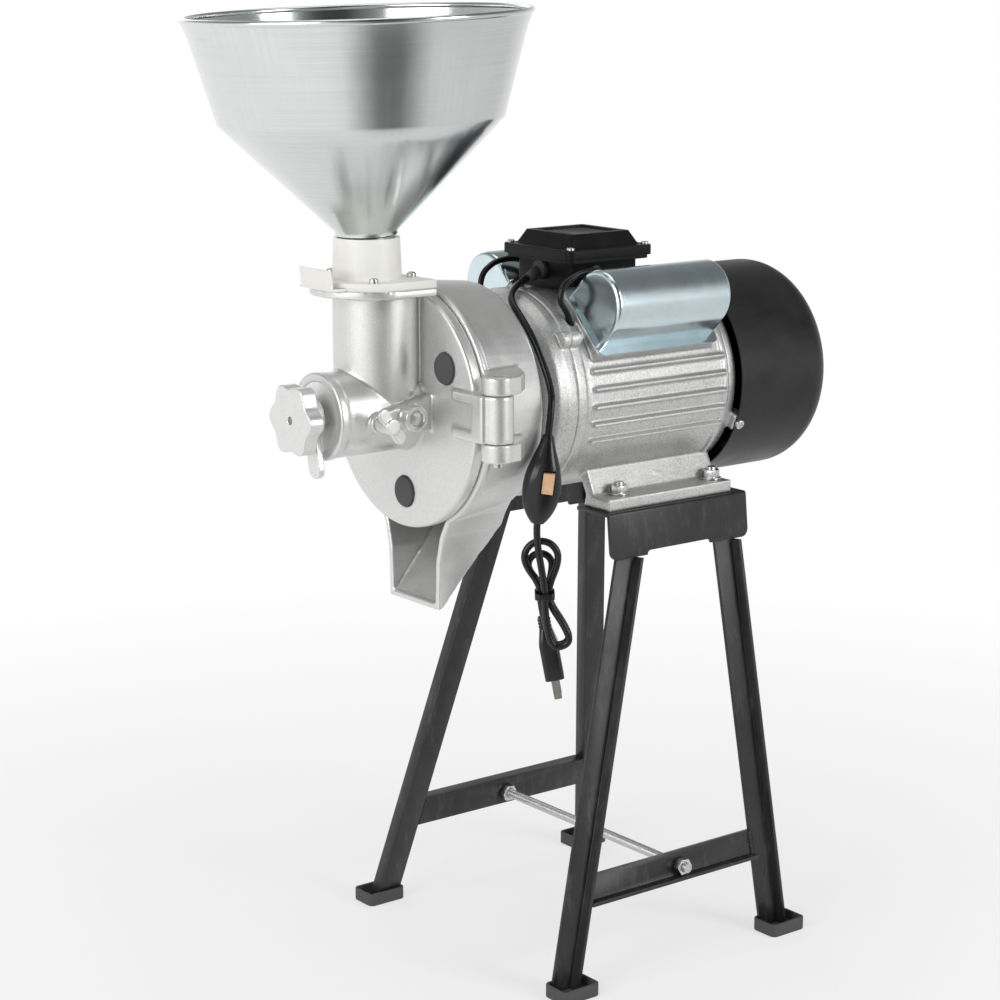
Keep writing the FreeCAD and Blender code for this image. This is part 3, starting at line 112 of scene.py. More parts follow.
class GrinderShape(bpy.types.PropertyGroup):
    """Sizes of the softening that castings and pressed pieces get."""

    casting_voxel: FloatProperty(
        name="Casting grain", description="Mesh size of the large castings", subtype="DISTANCE",
        min=0.0008, max=0.004, default=0.0011, precision=4)
    small_voxel: FloatProperty(
        name="Small casting grain", description="Mesh size of knobs and screws",
        subtype="DISTANCE", min=0.0003, max=0.002, default=0.0006, precision=4)
    casting_soften: IntProperty(
        name="Casting softening", description="Smoothing steps that round a casting's edges",
        min=0, max=20, default=3)
    edge_radius: FloatProperty(
        name="Edge radius", description="Rounding of bent and moulded edges",
        subtype="DISTANCE", min=0.0001, max=0.003, default=0.0006, precision=4)
    cord_diameter: FloatProperty(
        name="Cord diameter", description="Outside of the mains lead", subtype="DISTANCE",
        min=0.003, max=0.01, default=0.0056, precision=4)


class GrinderStage(bpy.types.PropertyGroup):
    """Camera and lamps."""

    camera_place: FloatVectorProperty(
        name="Camera place", description="Where the photograph was taken from",
        subtype="TRANSLATION", unit="LENGTH", size=3, default=(-1.2029, -1.5403, 0.8027))
    camera_lens: FloatProperty(
        name="Lens", description="Focal length for a 36 mm wide sensor", subtype="DISTANCE_CAMERA",
        min=20, max=200, default=88.6)
    left_power: FloatProperty(
        name="Left lamp", description="Power of the large lamp at the mill's end", subtype="POWER",
        min=0, max=500, default=26)
    right_power: FloatProperty(
        name="Right lamp", description="Power of the lamp at the motor's side", subtype="POWER",
        min=0, max=500, default=22)
    top_power: FloatProperty(
        name="Top lamp", description="Power of the lamp overhead", subtype="POWER",
        min=0, max=500, default=7)
    back_power: FloatProperty(
        name="Back lamp", description="Power of the lamp behind", subtype="POWER",
        min=0, max=500, default=4)
    room_light: FloatProperty(
        name="Room light", description="Strength of the even light from all round",
        subtype="FACTOR", min=0, max=2, default=0.35)


# Shader helpers

SOCKETS = {"colour": "Base Color", "metal": "Metallic", "rough": "Roughness",
           "brushed": "Anisotropic", "brush_turn": "Anisotropic Rotation",
           "coat": "Coat Weight", "coat_rough": "Coat Roughness", "gloss": "Specular IOR Level",
           "through": "Subsurface Weight", "deep": "Subsurface Scale"}
# Where most of a noise's values lie
NOISE_MIDDLE = (0.3, 0.7)


class Nodes:
    """A node tree, with short calls for sums and patterns."""

    def __init__(self, tree):
        self.tree = tree

    def node(self, kind, **settings):
        """New node with its settings."""
        made = self.tree.nodes.new(kind)
        for key, value in settings.items():
            setattr(made, key, value)
        return made

    def join(self, out, into):
        """Link from an output to an input."""
        self.tree.links.new(out, into)

    def place(self, scale=(1, 1, 1), turn=(0, 0, 0)):
        """Position on the piece, stretched."""
        where = self.node("ShaderNodeTexCoord")
        mapping = self.node("ShaderNodeMapping")
        mapping.inputs["Scale"].default_value = scale
        mapping.inputs["Rotation"].default_value = turn
        self.join(where.outputs["Object"], mapping.inputs["Vector"])
        return mapping.outputs["Vector"]

    def around(self, height, turns, radius):
        """Position as height, angle and radius about the piece's own upright axis."""
        where = self.node("ShaderNodeTexCoord")
        apart = self.node("ShaderNodeSeparateXYZ")
        self.join(where.outputs["Object"], apart.inputs[0])
        angle = self.sum("ARCTAN2", apart.outputs["Y"], apart.outputs["X"])
        flat = self.node("ShaderNodeCombineXYZ")
        length = self.node("ShaderNodeVectorMath", operation="LENGTH")
        self.join(apart.outputs["X"], flat.inputs["X"])
        self.join(apart.outputs["Y"], flat.inputs["Y"])
        self.join(flat.outputs[0], length.inputs[0])
        together = self.node("ShaderNodeCombineXYZ")
        self.join(self.sum("MULTIPLY", apart.outputs["Z"], height), together.inputs["X"])
        self.join(self.sum("MULTIPLY", angle, turns), together.inputs["Y"])
        self.join(self.sum("MULTIPLY", length.outputs["Value"], radius), together.inputs["Z"])
        return together.outputs[0]

    def sum(self, operation, first, second):
        """Result of a calculation on two values or outputs."""
        made = self.node("ShaderNodeMath", operation=operation)
        for slot, value in zip(made.inputs, (first, second)):
            if isinstance(value, (int, float)):
                slot.default_value = value
            else:
                self.join(value, slot)
        return made.outputs[0]

    def noise(self, where, scale, detail, rough):
        """Cloudy pattern with so many features in a metre."""
        made = self.node("ShaderNodeTexNoise")
        made.inputs["Scale"].default_value = scale
        made.inputs["Detail"].default_value = detail
        made.inputs["Roughness"].default_value = rough
        self.join(where, made.inputs["Vector"])
        return made.outputs["Fac"]

    def pits(self, where, scale):
        """Distance from the nearest of scattered points, so many in a metre."""
        made = self.node("ShaderNodeTexVoronoi")
        made.inputs["Scale"].default_value = scale
        self.join(where, made.inputs["Vector"])
        return made.outputs["Distance"]

    def spread(self, factor, low, high, from_low=0.0, from_high=1.0):
        """Value between low and high as the factor goes between its own two."""
        made = self.node("ShaderNodeMapRange")
        for key, value in (("From Min", from_low), ("From Max", from_high),
                           ("To Min", low), ("To Max", high)):
            made.inputs[key].default_value = value
        self.join(factor, made.inputs["Value"])
        return made.outputs["Result"]

    def share(self, factor, low, high):
        """How far the factor is from low to high, between 0 and 1."""
        return self.spread(factor, 0, 1, low, high)

    def middle(self, factor, low=0, high=1):
        """Value between low and high over the middle of a noise's range."""
        return self.spread(factor, low, high, *NOISE_MIDDLE)

    def blend(self, factor, first, second):
        """Colour between two, by the factor."""
        made = self.node("ShaderNodeMix", data_type="RGBA")
        colours = [s for s in made.inputs if s.type == "RGBA"]
        for slot, value in zip(colours, (first, second)):
            if isinstance(value, bpy.types.NodeSocket):
                self.join(value, slot)
            else:
                slot.default_value = (*value, 1)
        self.join(factor, made.inputs["Factor"])
        return next(s for s in made.outputs if s.type == "RGBA")


class Finish(Nodes):
    """One material."""

    def __init__(self, name, **values):
        self.material = bpy.data.materials.new(name)
        self.material.use_nodes = True
        super().__init__(self.material.node_tree)
        self.surface = self.tree.nodes["Principled BSDF"]
        for key, value in values.items():
            if key == "colour":
                value = (*value, 1)
            self.surface.inputs[SOCKETS[key]].default_value = value

    def colour(self, out):
        """Take the base colour from an output."""
        self.join(out, self.surface.inputs["Base Color"])

    def rough(self, out):
        """Take the roughness from an output."""
        self.join(out, self.surface.inputs["Roughness"])

    def bump(self, height, strength, depth, before=None):
        """Relief of a pattern, laid over the relief before it."""
        made = self.node("ShaderNodeBump")
        made.inputs["Strength"].default_value = strength
        made.inputs["Distance"].default_value = depth
        self.join(height, made.inputs["Height"])
        if before is not None:
            self.join(before, made.inputs["Normal"])
        self.join(made.outputs["Normal"], self.surface.inputs["Normal"])
        return made.outputs["Normal"]


def shade(colour, amount):
    """Colour made darker or lighter."""
    return tuple(min(1.0, c * amount) for c in colour)


# How hollow a corner is where shade is painted darker, and how raised an edge is where a highlight is
# painted lighter
PAINTED_SHADE_BELOW = (0.42, 0.49)
PAINTED_HIGHLIGHT_ABOVE = (0.52, 0.60)
PAINTED_SHADE_LEVEL = 0.38
PAINTED_HIGHLIGHT_LEVEL = 1.12
# Enamel's sand grain, lumps and pits in a metre
SAND = 700
LUMPS = 60
PITS = 170


def silver_enamel(name, colour, metal, grain, depth, rough, contrast):
    """Silver enamel over a casting: sand grain, pits, painted shade in hollow corners and a painted
    highlight on raised edges.
    """
    finish = Finish(name, colour=colour, metal=metal, rough=rough)
    where = finish.place()
    sand = finish.noise(where, SAND * grain, detail=4, rough=0.6)
    lumps = finish.noise(where, LUMPS * grain, detail=3, rough=0.5)
    pit = finish.share(finish.pits(where, PITS * grain), 0.0, 0.14)
    speck = finish.share(sand, 0.36, 0.60)
    tone = finish.blend(speck, shade(colour, 1 - contrast), colour)
    pale = finish.blend(speck, shade(colour, 1 - 0.6 * contrast), shade(colour, 1.05))
    unshaded = finish.blend(finish.middle(lumps), tone, pale)
    # Painted shade: hollow corners are darkened by pointiness; painted highlight: raised edges are
    # lightened by it
    corner = finish.node("ShaderNodeNewGeometry").outputs["Pointiness"]
    with_painted_shade = finish.blend(finish.share(corner, *PAINTED_SHADE_BELOW), shade(colour, PAINTED_SHADE_LEVEL),
                         unshaded)
    finish.colour(finish.blend(finish.share(corner, *PAINTED_HIGHLIGHT_ABOVE), with_painted_shade,
                               shade(colour, PAINTED_HIGHLIGHT_LEVEL)))
    finish.rough(finish.middle(lumps, rough * 0.88, rough * 1.15))
    first = finish.bump(sand, strength=0.30, depth=0.0003 * depth)
    second = finish.bump(lumps, strength=0.20, depth=0.0006 * depth, before=first)
    finish.bump(pit, strength=0.25, depth=0.0003 * depth, before=second)
    return finish.material


def spun_steel(name, colour):
    """Stainless sheet spun on a lathe: fine rings, soft blotches and faint streaks."""
    finish = Finish(name, colour=colour, metal=1.0, rough=0.20, brushed=0.5, brush_turn=0.25)
    rings = finish.noise(finish.around(height=1500, turns=0.6, radius=900), 1, detail=2, rough=0.6)
    streaks = finish.noise(finish.around(height=5, turns=34, radius=0), 1, detail=3, rough=0.6)
    cloud = finish.noise(finish.place(), 14, detail=3, rough=0.5)
    tangent = finish.node("ShaderNodeTangent", direction_type="RADIAL", axis="Z")
    finish.join(tangent.outputs[0], finish.surface.inputs["Tangent"])
    tone = finish.blend(finish.middle(rings), shade(colour, 0.9), colour)
    streaked = finish.blend(streaks, shade(colour, 0.94), shade(colour, 1.12))
    finish.colour(finish.blend(finish.share(cloud, 0.35, 0.7), tone, streaked))
    finish.rough(finish.middle(cloud, 0.17, 0.25))
    first = finish.bump(rings, strength=0.10, depth=0.0001)
    finish.bump(cloud, strength=0.18, depth=0.003, before=first)
    return finish.material


def plated(name, colour, rough, mottle, scale=260):
    """Zinc plate: a faint crystal mottle, rolling marks and fingermarks."""
    finish = Finish(name, colour=colour, metal=1.0, rough=rough)
    where = finish.place()
    crystal = finish.pits(where, scale)
    cloud = finish.noise(where, 34, detail=4, rough=0.6)
    rolled = finish.noise(finish.place(scale=(20, 700, 700)), 1, detail=2, rough=0.5)
    tone = finish.blend(finish.share(crystal, 0.1, 0.7), colour, shade(colour, 1 - mottle))
    finish.colour(finish.blend(finish.share(cloud, 0.35, 0.7), tone, shade(colour, 1.05)))
    finish.rough(finish.middle(cloud, rough * 0.93, rough * 1.12))
    finish.bump(rolled, strength=0.06, depth=0.0001)
    return finish.material


# The wave pattern multiplies a distance by this before it takes the sine
WAVE_FACTOR = 20


def threaded(name, colour, pitch):
    """Zinc-plated thread along the Y axis: crests in the plating's tone and painted shade in the
    roots.
    """
    finish = Finish(name, colour=colour, metal=1.0, rough=0.3)
    turns = finish.node("ShaderNodeTexWave", bands_direction="Y")
    turns.inputs["Scale"].default_value = 2 * math.pi / (WAVE_FACTOR * pitch)
    finish.join(finish.place(), turns.inputs["Vector"])
    crest = turns.outputs["Fac"]
    cloud = finish.noise(finish.place(), 90, detail=3, rough=0.5)
    bright = finish.blend(cloud, colour, shade(colour, 1.15))
    # Painted shade: the roots between the crests are coloured darker
    finish.colour(finish.blend(crest, shade(colour, 0.75), bright))
    finish.rough(finish.middle(cloud, 0.24, 0.36))
    finish.bump(crest, strength=0.5, depth=pitch * 0.4)
    return finish.material


def ground_steel(name, colour, rough):
    """Turned or ground steel with fine tool marks about the shaft."""
    finish = Finish(name, colour=colour, metal=1.0, rough=rough)
    marks = finish.noise(finish.place(scale=(2400, 60, 60)), 1, detail=2, rough=0.6)
    cloud = finish.noise(finish.place(), 60, detail=3, rough=0.5)
    finish.colour(finish.blend(cloud, shade(colour, 0.8), shade(colour, 1.08)))
    finish.rough(finish.middle(marks, rough * 0.8, rough * 1.3))
    finish.bump(marks, strength=0.12, depth=0.0002)
    return finish.material


SCUFF_GREY = (0.13, 0.13, 0.125)


def black_paint(name, colour, rough, gloss, scuffs):
    """Black paint with orange peel, dust and, on the stand, scuffs."""
    finish = Finish(name, colour=colour, rough=rough, gloss=gloss)
    where = finish.place()
    peel = finish.noise(where, 420, detail=2, rough=0.5)
    dust = finish.noise(where, 26, detail=5, rough=0.65)
    rub = finish.noise(finish.place(scale=(90, 90, 22), turn=(0.2, 0.5, 0)), 1, detail=5, rough=0.75)
    marks = finish.spread(rub, 0, scuffs, 0.52, 0.82)
    base = finish.blend(finish.share(dust, 0.35, 0.75), colour, shade(colour, 2.2))
    finish.colour(finish.blend(marks, base, SCUFF_GREY))
    finish.rough(finish.spread(dust, rough * 0.85, rough * 1.35, 0.3, 0.75))
    finish.bump(peel, strength=0.22, depth=0.0003)
    return finish.material


def moulded(name, colour, rough, grain=900, lift=2.0, gloss=0.5):
    """Moulded plastic or rubber with a fine grain and slight handling marks."""
    finish = Finish(name, colour=colour, rough=rough, gloss=gloss)
    where = finish.place()
    fine = finish.noise(where, grain, detail=2, rough=0.5)
    cloud = finish.noise(where, 48, detail=4, rough=0.6)
    finish.colour(finish.blend(finish.share(cloud, 0.3, 0.75), colour, shade(colour, lift)))
    finish.rough(finish.middle(cloud, rough * 0.85, rough * 1.25))
    finish.bump(fine, strength=0.25, depth=0.0002)
    return finish.material


def white_plastic(name, colour):
    """White moulding that lets a little light in, with flow lines."""
    finish = Finish(name, colour=colour, rough=0.34, through=0.06, deep=0.004)
    cloud = finish.noise(finish.place(), 22, detail=3, rough=0.5)
    lines = finish.noise(finish.place(scale=(40, 40, 900)), 1, detail=2, rough=0.5)
    finish.colour(finish.blend(cloud, shade(colour, 0.95), shade(colour, 1.03)))
    finish.rough(finish.middle(cloud, 0.28, 0.42))
    finish.bump(lines, strength=0.10, depth=0.0002)
    return finish.material


def raw_iron(name, colour):
    """Bare grey iron: coarse grain, ground bright on the high spots."""
    finish = Finish(name, colour=colour, metal=0.9, rough=0.5)
    where = finish.place()
    coarse = finish.noise(where, 240, detail=5, rough=0.65)
    finish.colour(finish.blend(finish.middle(coarse), shade(colour, 0.6), shade(colour, 1.2)))
    finish.rough(finish.middle(coarse, 0.62, 0.36))
    finish.bump(coarse, strength=0.4, depth=0.0008)
    return finish.material


def laminated(name, colour):
    """Stacked sheets, seen as fine lines across the shaft."""
    finish = Finish(name, colour=colour, metal=1.0, rough=0.45)
    sheets = finish.noise(finish.place(scale=(2000, 8, 8)), 1, detail=1, rough=0.5)
    finish.colour(finish.blend(sheets, shade(colour, 0.6), shade(colour, 1.2)))
    finish.bump(sheets, strength=0.4, depth=0.0004)
    return finish.material


def wound_copper(name, colour):
    """Varnished winding: wires side by side round the bore."""
    finish = Finish(name, colour=colour, metal=0.6, rough=0.35, coat=0.6, coat_rough=0.2)
    wires = finish.noise(finish.place(scale=(1400, 140, 140)), 1, detail=3, rough=0.6)
    finish.colour(finish.blend(wires, shade(colour, 0.45), shade(colour, 1.2)))
    finish.bump(wires, strength=0.7, depth=0.0008)
    return finish.material


IRON_GREY = (0.30, 0.30, 0.30)
MOULDING_BLACK = (0.005, 0.005, 0.005)
LEAD_BLACK = (0.006, 0.006, 0.006)
RUBBER_GREY = (0.060, 0.060, 0.062)
PIN_BRASS = (0.42, 0.40, 0.36)
STEEL_GREY = (0.62, 0.62, 0.63)
WINDING_COPPER = (0.50, 0.20, 0.08)
CAN_GREY = (0.70, 0.70, 0.67)
THREAD_PITCH = 0.00125
FINISHES = {}


def finishes(colours):
    """All materials by the record's slot name, made once."""
    if not FINISHES:
        FINISHES.update({
            "cast_silver": silver_enamel("satin silver casting", colours.mill_silver, metal=0.72,
                                         grain=1.0, depth=0.35, rough=0.36, contrast=0.08),
            "motor_silver": silver_enamel("grainy silver casting", colours.motor_silver, metal=0.78,
                                          grain=1.0, depth=1.7, rough=0.40, contrast=0.34),
            "cast_silver_small": silver_enamel("small silver casting", colours.small_silver,
                                               metal=0.72, grain=1.4, depth=0.4, rough=0.34,
                                               contrast=0.08),
            "stainless": spun_steel("spun stainless", colours.funnel_steel),
            "zinc_blue": plated("blue zinc plate", colours.zinc_blue, rough=0.20, mottle=0.05),
            "zinc_bright": plated("bright zinc plate", colours.zinc_bright, rough=0.26, mottle=0.2,
                                  scale=700),
            "threaded_zinc": threaded("zinc-plated thread", colours.zinc_bright, THREAD_PITCH),
            "black_paint": black_paint("stand paint", colours.stand_black, rough=0.36, gloss=0.50,
                                       scuffs=0.55),
            "black_gloss": black_paint("fan cover paint", colours.cover_black, rough=0.34,
                                       gloss=0.38, scuffs=0.0),
            "black_plastic": moulded("black moulding", MOULDING_BLACK, rough=0.42, gloss=0.2),
            "switch_black": moulded("glossy moulding", LEAD_BLACK, rough=0.16, grain=700, lift=1.6),
            "black_cord": moulded("lead sheath", LEAD_BLACK, rough=0.26, grain=500, lift=1.6,
                                  gloss=0.42),
            "black_rubber": moulded("rubber", RUBBER_GREY, rough=0.62, grain=700, lift=1.5),
            "white_plastic": white_plastic("white moulding", colours.seat_white),
            "tan_plastic": moulded("tan moulding", colours.rocker_tan, rough=0.30, grain=600,
                                   lift=1.15),
            "brass": ground_steel("plug pins", PIN_BRASS, rough=0.25),
            "iron_disc": raw_iron("disc iron", IRON_GREY),
            "bearing_steel": ground_steel("ground steel", STEEL_GREY, rough=0.16),
            "core_steel": laminated("core sheets", IRON_GREY),
            "copper": wound_copper("winding", WINDING_COPPER),
            "can_plastic": moulded("capacitor can", CAN_GREY, rough=0.4, grain=500, lift=1.08),
        })
    return FINISHES


# Pieces whose surface is rougher or glossier than their slot's other pieces
OWN_FINISH = {"motor_frame": "motor_silver", "front_end_bell": "motor_silver",
              "rear_end_bell": "motor_silver", "switch_body": "switch_black",
              "plug_body": "switch_black", "tie_rod": "threaded_zinc"}


def slot_finish(context, node):
    """Finish of a node: its own if it has one, or else its slot's."""
    kinds = finishes(context.scene.grinder_finish)
    return kinds[OWN_FINISH.get(node, SLOTS[node])]


# Mesh helpers

def coat(context, piece, node):
    """Give a piece the finish of a node."""
    piece.data.materials.clear()
    piece.data.materials.append(slot_finish(context, node))


def dress(context, *nodes):
    """Give CAD nodes their finish."""
    for node in nodes:
        coat(context, NODES[node], node)


def attach(context, piece, node):
    """Give a new piece a node's finish and body."""
    coat(context, piece, node)
    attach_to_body(piece, NODES[node].get("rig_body"))


def settle(context, piece, node):
    """New piece that stands for a node."""
    attach(context, piece, node)
    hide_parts(node)
    return piece


# Corners nearer than this are one corner
SAME_CORNER = 1e-6


def copied(node, name):
    """Separate copy of a node's mesh, with the split corners joined."""
    mesh = bpy.data.meshes.new(name)
    form = bmesh.new()
    form.from_mesh(NODES[node].data)
    bmesh.ops.remove_doubles(form, verts=form.verts, dist=SAME_CORNER)
    form.to_mesh(mesh)
    form.free()
    piece = bpy.data.objects.new(name, mesh)
    bpy.context.scene.collection.objects.link(piece)
    return piece


def fix_modifiers(piece):
    """Replace a piece's mesh by what its modifiers make of it."""
    graph = bpy.context.evaluated_depsgraph_get()
    mesh = bpy.data.meshes.new_from_object(piece.evaluated_get(graph))
    piece.modifiers.clear()
    piece.data = mesh


def even_grain(piece, voxel):
    """Remake a piece's skin in even steps."""
    grain = piece.modifiers.new("grain", "REMESH")
    grain.mode = "VOXEL"
    grain.voxel_size = voxel
    grain.use_smooth_shade = True


def cast(context, node, voxel, steps):
    """Casting with its edges rounded and its corners filled."""
    piece = copied(node, node + "_casting")
    even_grain(piece, voxel)
    soften = piece.modifiers.new("soften", "SMOOTH")
    soften.factor = 0.5
    soften.iterations = steps
    fix_modifiers(piece)
    settle(context, piece, node)


# Radius, in metres, of the edges of pieces that don't take the edge radius of the settings
EDGES = {"switch_rocker": 0.0004, "switch_body": 0.0006, "plug_body": 0.0005, "cord_tie": 0.0004,
         "hopper_seat": 0.0012, "feed_gate": 0.0003, "terminal_box": 0.0008,
         "terminal_box_lid": 0.0008, "rubber_feet": 0.0012, "motor_bolts": 0.0003,
         "tie_rod_nuts": 0.0003, "disc_plugs": 0.0008}
# Faces that differ less than this, in degrees, are one face
SAME_FACE = 0.4
# The rocker's two press faces, and how deep they are
DISHED_FACES = 2
ROCKER_DISH = 0.0006


def rounded(context, node, segments=2, angle=35, dish=0.0):
    """Bent or moulded piece with its sharp edges rounded, and its largest faces dished."""
    radius = EDGES.get(node, context.scene.grinder_shape.edge_radius)
    piece = copied(node, node + "_rounded")
    form = bmesh.new()
    form.from_mesh(piece.data)
    bmesh.ops.dissolve_limit(form, angle_limit=math.radians(SAME_FACE), verts=form.verts,
                             edges=form.edges)
    if dish:
        largest = sorted(form.faces, key=lambda f: f.calc_area(), reverse=True)[:DISHED_FACES]
        bmesh.ops.inset_individual(form, faces=largest, thickness=2 * dish, depth=-dish)
    form.to_mesh(piece.data)
    form.free()
    bevel = piece.modifiers.new("edges", "BEVEL")
    bevel.width = radius
    bevel.segments = segments
    bevel.limit_method = "ANGLE"
    bevel.angle_limit = math.radians(angle)
    bevel.use_clamp_overlap = True
    fix_modifiers(piece)
    smooth(piece, angle)
    return settle(context, piece, node)


def smooth(piece, angle):
    """Smooth shading, with the edges sharper than the angle kept."""
    piece.data.shade_smooth()
    piece.data.set_sharp_from_angle(angle=math.radians(angle))


def mesh_piece(name, corners, faces):
    """New piece from its corners and faces."""
    mesh = bpy.data.meshes.new(name)
    mesh.from_pydata([tuple(c) for c in corners], [], faces)
    mesh.validate()
    mesh.update()
    piece = bpy.data.objects.new(name, mesh)
    bpy.context.scene.collection.objects.link(piece)
    return piece


def turned(name, outline, steps):
    """Closed outline of (radius, height) points turned about the piece's upright axis."""
    corners, faces = [], []
    for i in range(steps):
        a = 2 * math.pi * i / steps
        corners += [(r * math.cos(a), r * math.sin(a), z) for r, z in outline]
    count = len(outline)
    for i in range(steps):
        j = (i + 1) % steps
        for k in range(count):
            m = (k + 1) % count
            faces.append((i * count + k, j * count + k, j * count + m, i * count + m))
    return mesh_piece(name, corners, faces)


def row(x, y, z):
    """Millimetres in the motor's frame to metres in the row frame."""
    return Vector((x + MOTOR_TO_ROW[0], y + MOTOR_TO_ROW[1], z + MOTOR_TO_ROW[2])) / 1000


# Mains lead

UPPER_CORD = ((-94, -6, 91), (-112, -17, 88.9), (-127, -28, 85), (-136.5, -40, 79),
              (-138, -56, 68), (-138, -71, 53), (-138, -82.5, 36), (-138.3, -93, 17))
HANK_AT = (-144.0, -92.6)
HANK_TURN = -37.73
SWITCH_TOP = (2.2, -6.6, -16.0)
SWITCH_LENGTH = 69.5
SWITCH_TILT = -6.8
LAYER = 6.6
STRAND = 3.25
WAIST = -143.6
FOLD_TILT = 21.5
FOLD_R = 7.2
FOLD_LENGTH = 38.5
PLUG_TOP = (-0.8, 14.5, -165.0)
PLUG_TILT = 10.5
# Straight stretches: into the switch, and out of the switch and the plug
SWITCH_LEAD_IN = 20
STRAIGHT_OUT = 10.5
# The tied waist's half height, and where the folds start below its middle
WAIST_HALF = 7
FOLD_START = WAIST - 4
# Upper lobes as across, height and radius, with corners every eighth of a turn
FRONT_LOBE = (-2.8, -114, 13)
REAR_LOBE = (-3.5, -121.4, 9.15)
LOBE_STEP = 45
LOBE_CORNERS = 6


def across(s, d, z):
    """Point of the hank's frame: s across its face, d behind it, z up."""
    c, t = math.cos(math.radians(HANK_TURN)), math.sin(math.radians(HANK_TURN))
    return HANK_AT[0] + s * c - d * t, HANK_AT[1] + s * t + d * c, z


def along(start, tilt, length):
    """Point of the hank's frame a length further down a tilted axis."""
    a = math.radians(tilt)
    return start[0] + length * math.sin(a), start[1], start[2] - length * math.cos(a)


def upper_route():
    """From the terminal box's gland down to the switch."""
    above_switch = across(*along(SWITCH_TOP, SWITCH_TILT, -SWITCH_LEAD_IN))
    return [*UPPER_CORD, above_switch, across(*SWITCH_TOP)]


def hank_route():
    """Entry in front, then two turns through the waist, each a layer further back, and the exit."""
    def lobe(s, z, radius, d):
        corner = radius / math.cos(math.radians(LOBE_STEP / 2))
        for step in range(LOBE_CORNERS):
            a = math.radians(LOBE_STEP * step - LOBE_STEP / 2)
            yield s + corner * math.cos(a), d, z + corner * math.sin(a)

    def fold(length, d):
        a = math.radians(FOLD_TILT)
        for side, back in ((-1, 2 * FOLD_R), (-1, 0), (1, 0), (1, 2 * FOLD_R)):
            s, _, z = along((0, d, FOLD_START), FOLD_TILT, length - back)
            yield s + side * FOLD_R * math.cos(a), d, z + side * FOLD_R * math.sin(a)

    above, below = WAIST + WAIST_HALF, WAIST - WAIST_HALF
    points = [along(SWITCH_TOP, SWITCH_TILT, SWITCH_LENGTH),
              along(SWITCH_TOP, SWITCH_TILT, SWITCH_LENGTH + STRAIGHT_OUT),
              (0, -LAYER, above), (0, -LAYER, below)]
    points += list(fold(FOLD_LENGTH, -LAYER))
    points += [(STRAND, 0, below), (STRAND, 0, above)]
    points += list(lobe(*FRONT_LOBE, 0))
    points += [(-STRAND, 0, above), (-STRAND, 0, below)]
    points += list(fold(FOLD_LENGTH, 0))
    points += [(STRAND, LAYER, below), (STRAND, LAYER, above)]
    points += list(lobe(*REAR_LOBE, LAYER))
    points += [(-STRAND, LAYER, above), (-STRAND, LAYER, FOLD_START),
               along(PLUG_TOP, PLUG_TILT, -STRAIGHT_OUT), PLUG_TOP]
    return [across(*p) for p in points]


def cord_piece(name, points, diameter):
    """Round cord on one smooth line with the route's points as its control points."""
    curve = bpy.data.curves.new(name, "CURVE")
    curve.dimensions = "3D"
    curve.resolution_u = 12
    curve.bevel_depth = diameter / 2
    curve.bevel_resolution = 5
    curve.use_fill_caps = True
    line = curve.splines.new("NURBS")
    line.points.add(len(points) - 1)
    for point, place in zip(line.points, points):
        point.co = (*row(*place), 1)
    line.order_u = 3
    line.use_endpoint_u = True
    piece = bpy.data.objects.new(name, curve)
    bpy.context.scene.collection.objects.link(piece)
    return piece


class GRINDER_OT_lead(bpy.types.Operator):
    """Mains lead: the stretch down to the switch, the tied hank, the tie, the switch and the plug"""

    bl_idname = "grinder.lead"
    bl_label = "Mains lead"

    def execute(self, context):
        shape = context.scene.grinder_shape
        dress(context, "plug_blades", "capacitor_leads")
        rocker = rounded(context, "switch_rocker", dish=ROCKER_DISH)
        switch = rounded(context, "switch_body", angle=40)
        plug = rounded(context, "plug_body", angle=40)
        tie = rounded(context, "cord_tie", angle=40)
        upper = cord_piece("lead_upper", upper_route(), shape.cord_diameter)
        settle(context, upper, "power_cord_upper")
        hank = cord_piece("lead_hank", hank_route(), shape.cord_diameter)
        settle(context, hank, "power_cord_hank")
        row(*hank_route()[0])
        return {"FINISHED"}


class GRINDER_OT_castings(bpy.types.Operator):
    """Castings of the mill and the motor, with rounded edges and filled corners"""

    bl_idname = "grinder.castings"
    bl_label = "Castings"

    def execute(self, context):
        shape = context.scene.grinder_shape
        for node in ("front_cover", "grinding_housing", "motor_frame", "front_end_bell",
                     "rear_end_bell"):
            cast(context, node, shape.casting_voxel, shape.casting_soften)
        for node in ("adjusting_knob", "lock_ring", "wing_screw", "clamp_screw"):
            cast(context, node, shape.small_voxel, shape.casting_soften)
        dress(context, "thrust_sleeve")
        return {"FINISHED"}


# Where the funnel stands in the motor's frame, and its lean towards the mill's end
HOPPER_AT = (-244.5, 0.0, 134.0)
HOPPER_LEAN = 2.2
# Its outline upwards as radius and height: spigot, neck, cone, shoulder, band and rim
SPIGOT_END = -0.021
SPIGOT_BORE = 0.0198
NECK = ((0.0209, 0.0005), (0.0224, 0.0012), (0.024, 0.0021), (0.024, 0.0042), (0.0252, 0.0060))
CONE_END = (0.1068, 0.0866)
SHOULDER = ((0.1082, 0.0884), (0.109, 0.0912))
RIM = (0.1303, 0.166)
RIM_ROLL = 0.0023
RIM_TURN = range(-75, 226, 25)
FUNNEL_WALL = 0.0011
WALL_RISE = 0.0004
FUNNEL_STEPS = 160


def between(start, end, steps):
    """Points that divide the line from start to end, without its ends."""
    return [tuple(a + (b - a) * i / steps for a, b in zip(start, end)) for i in range(1, steps)]


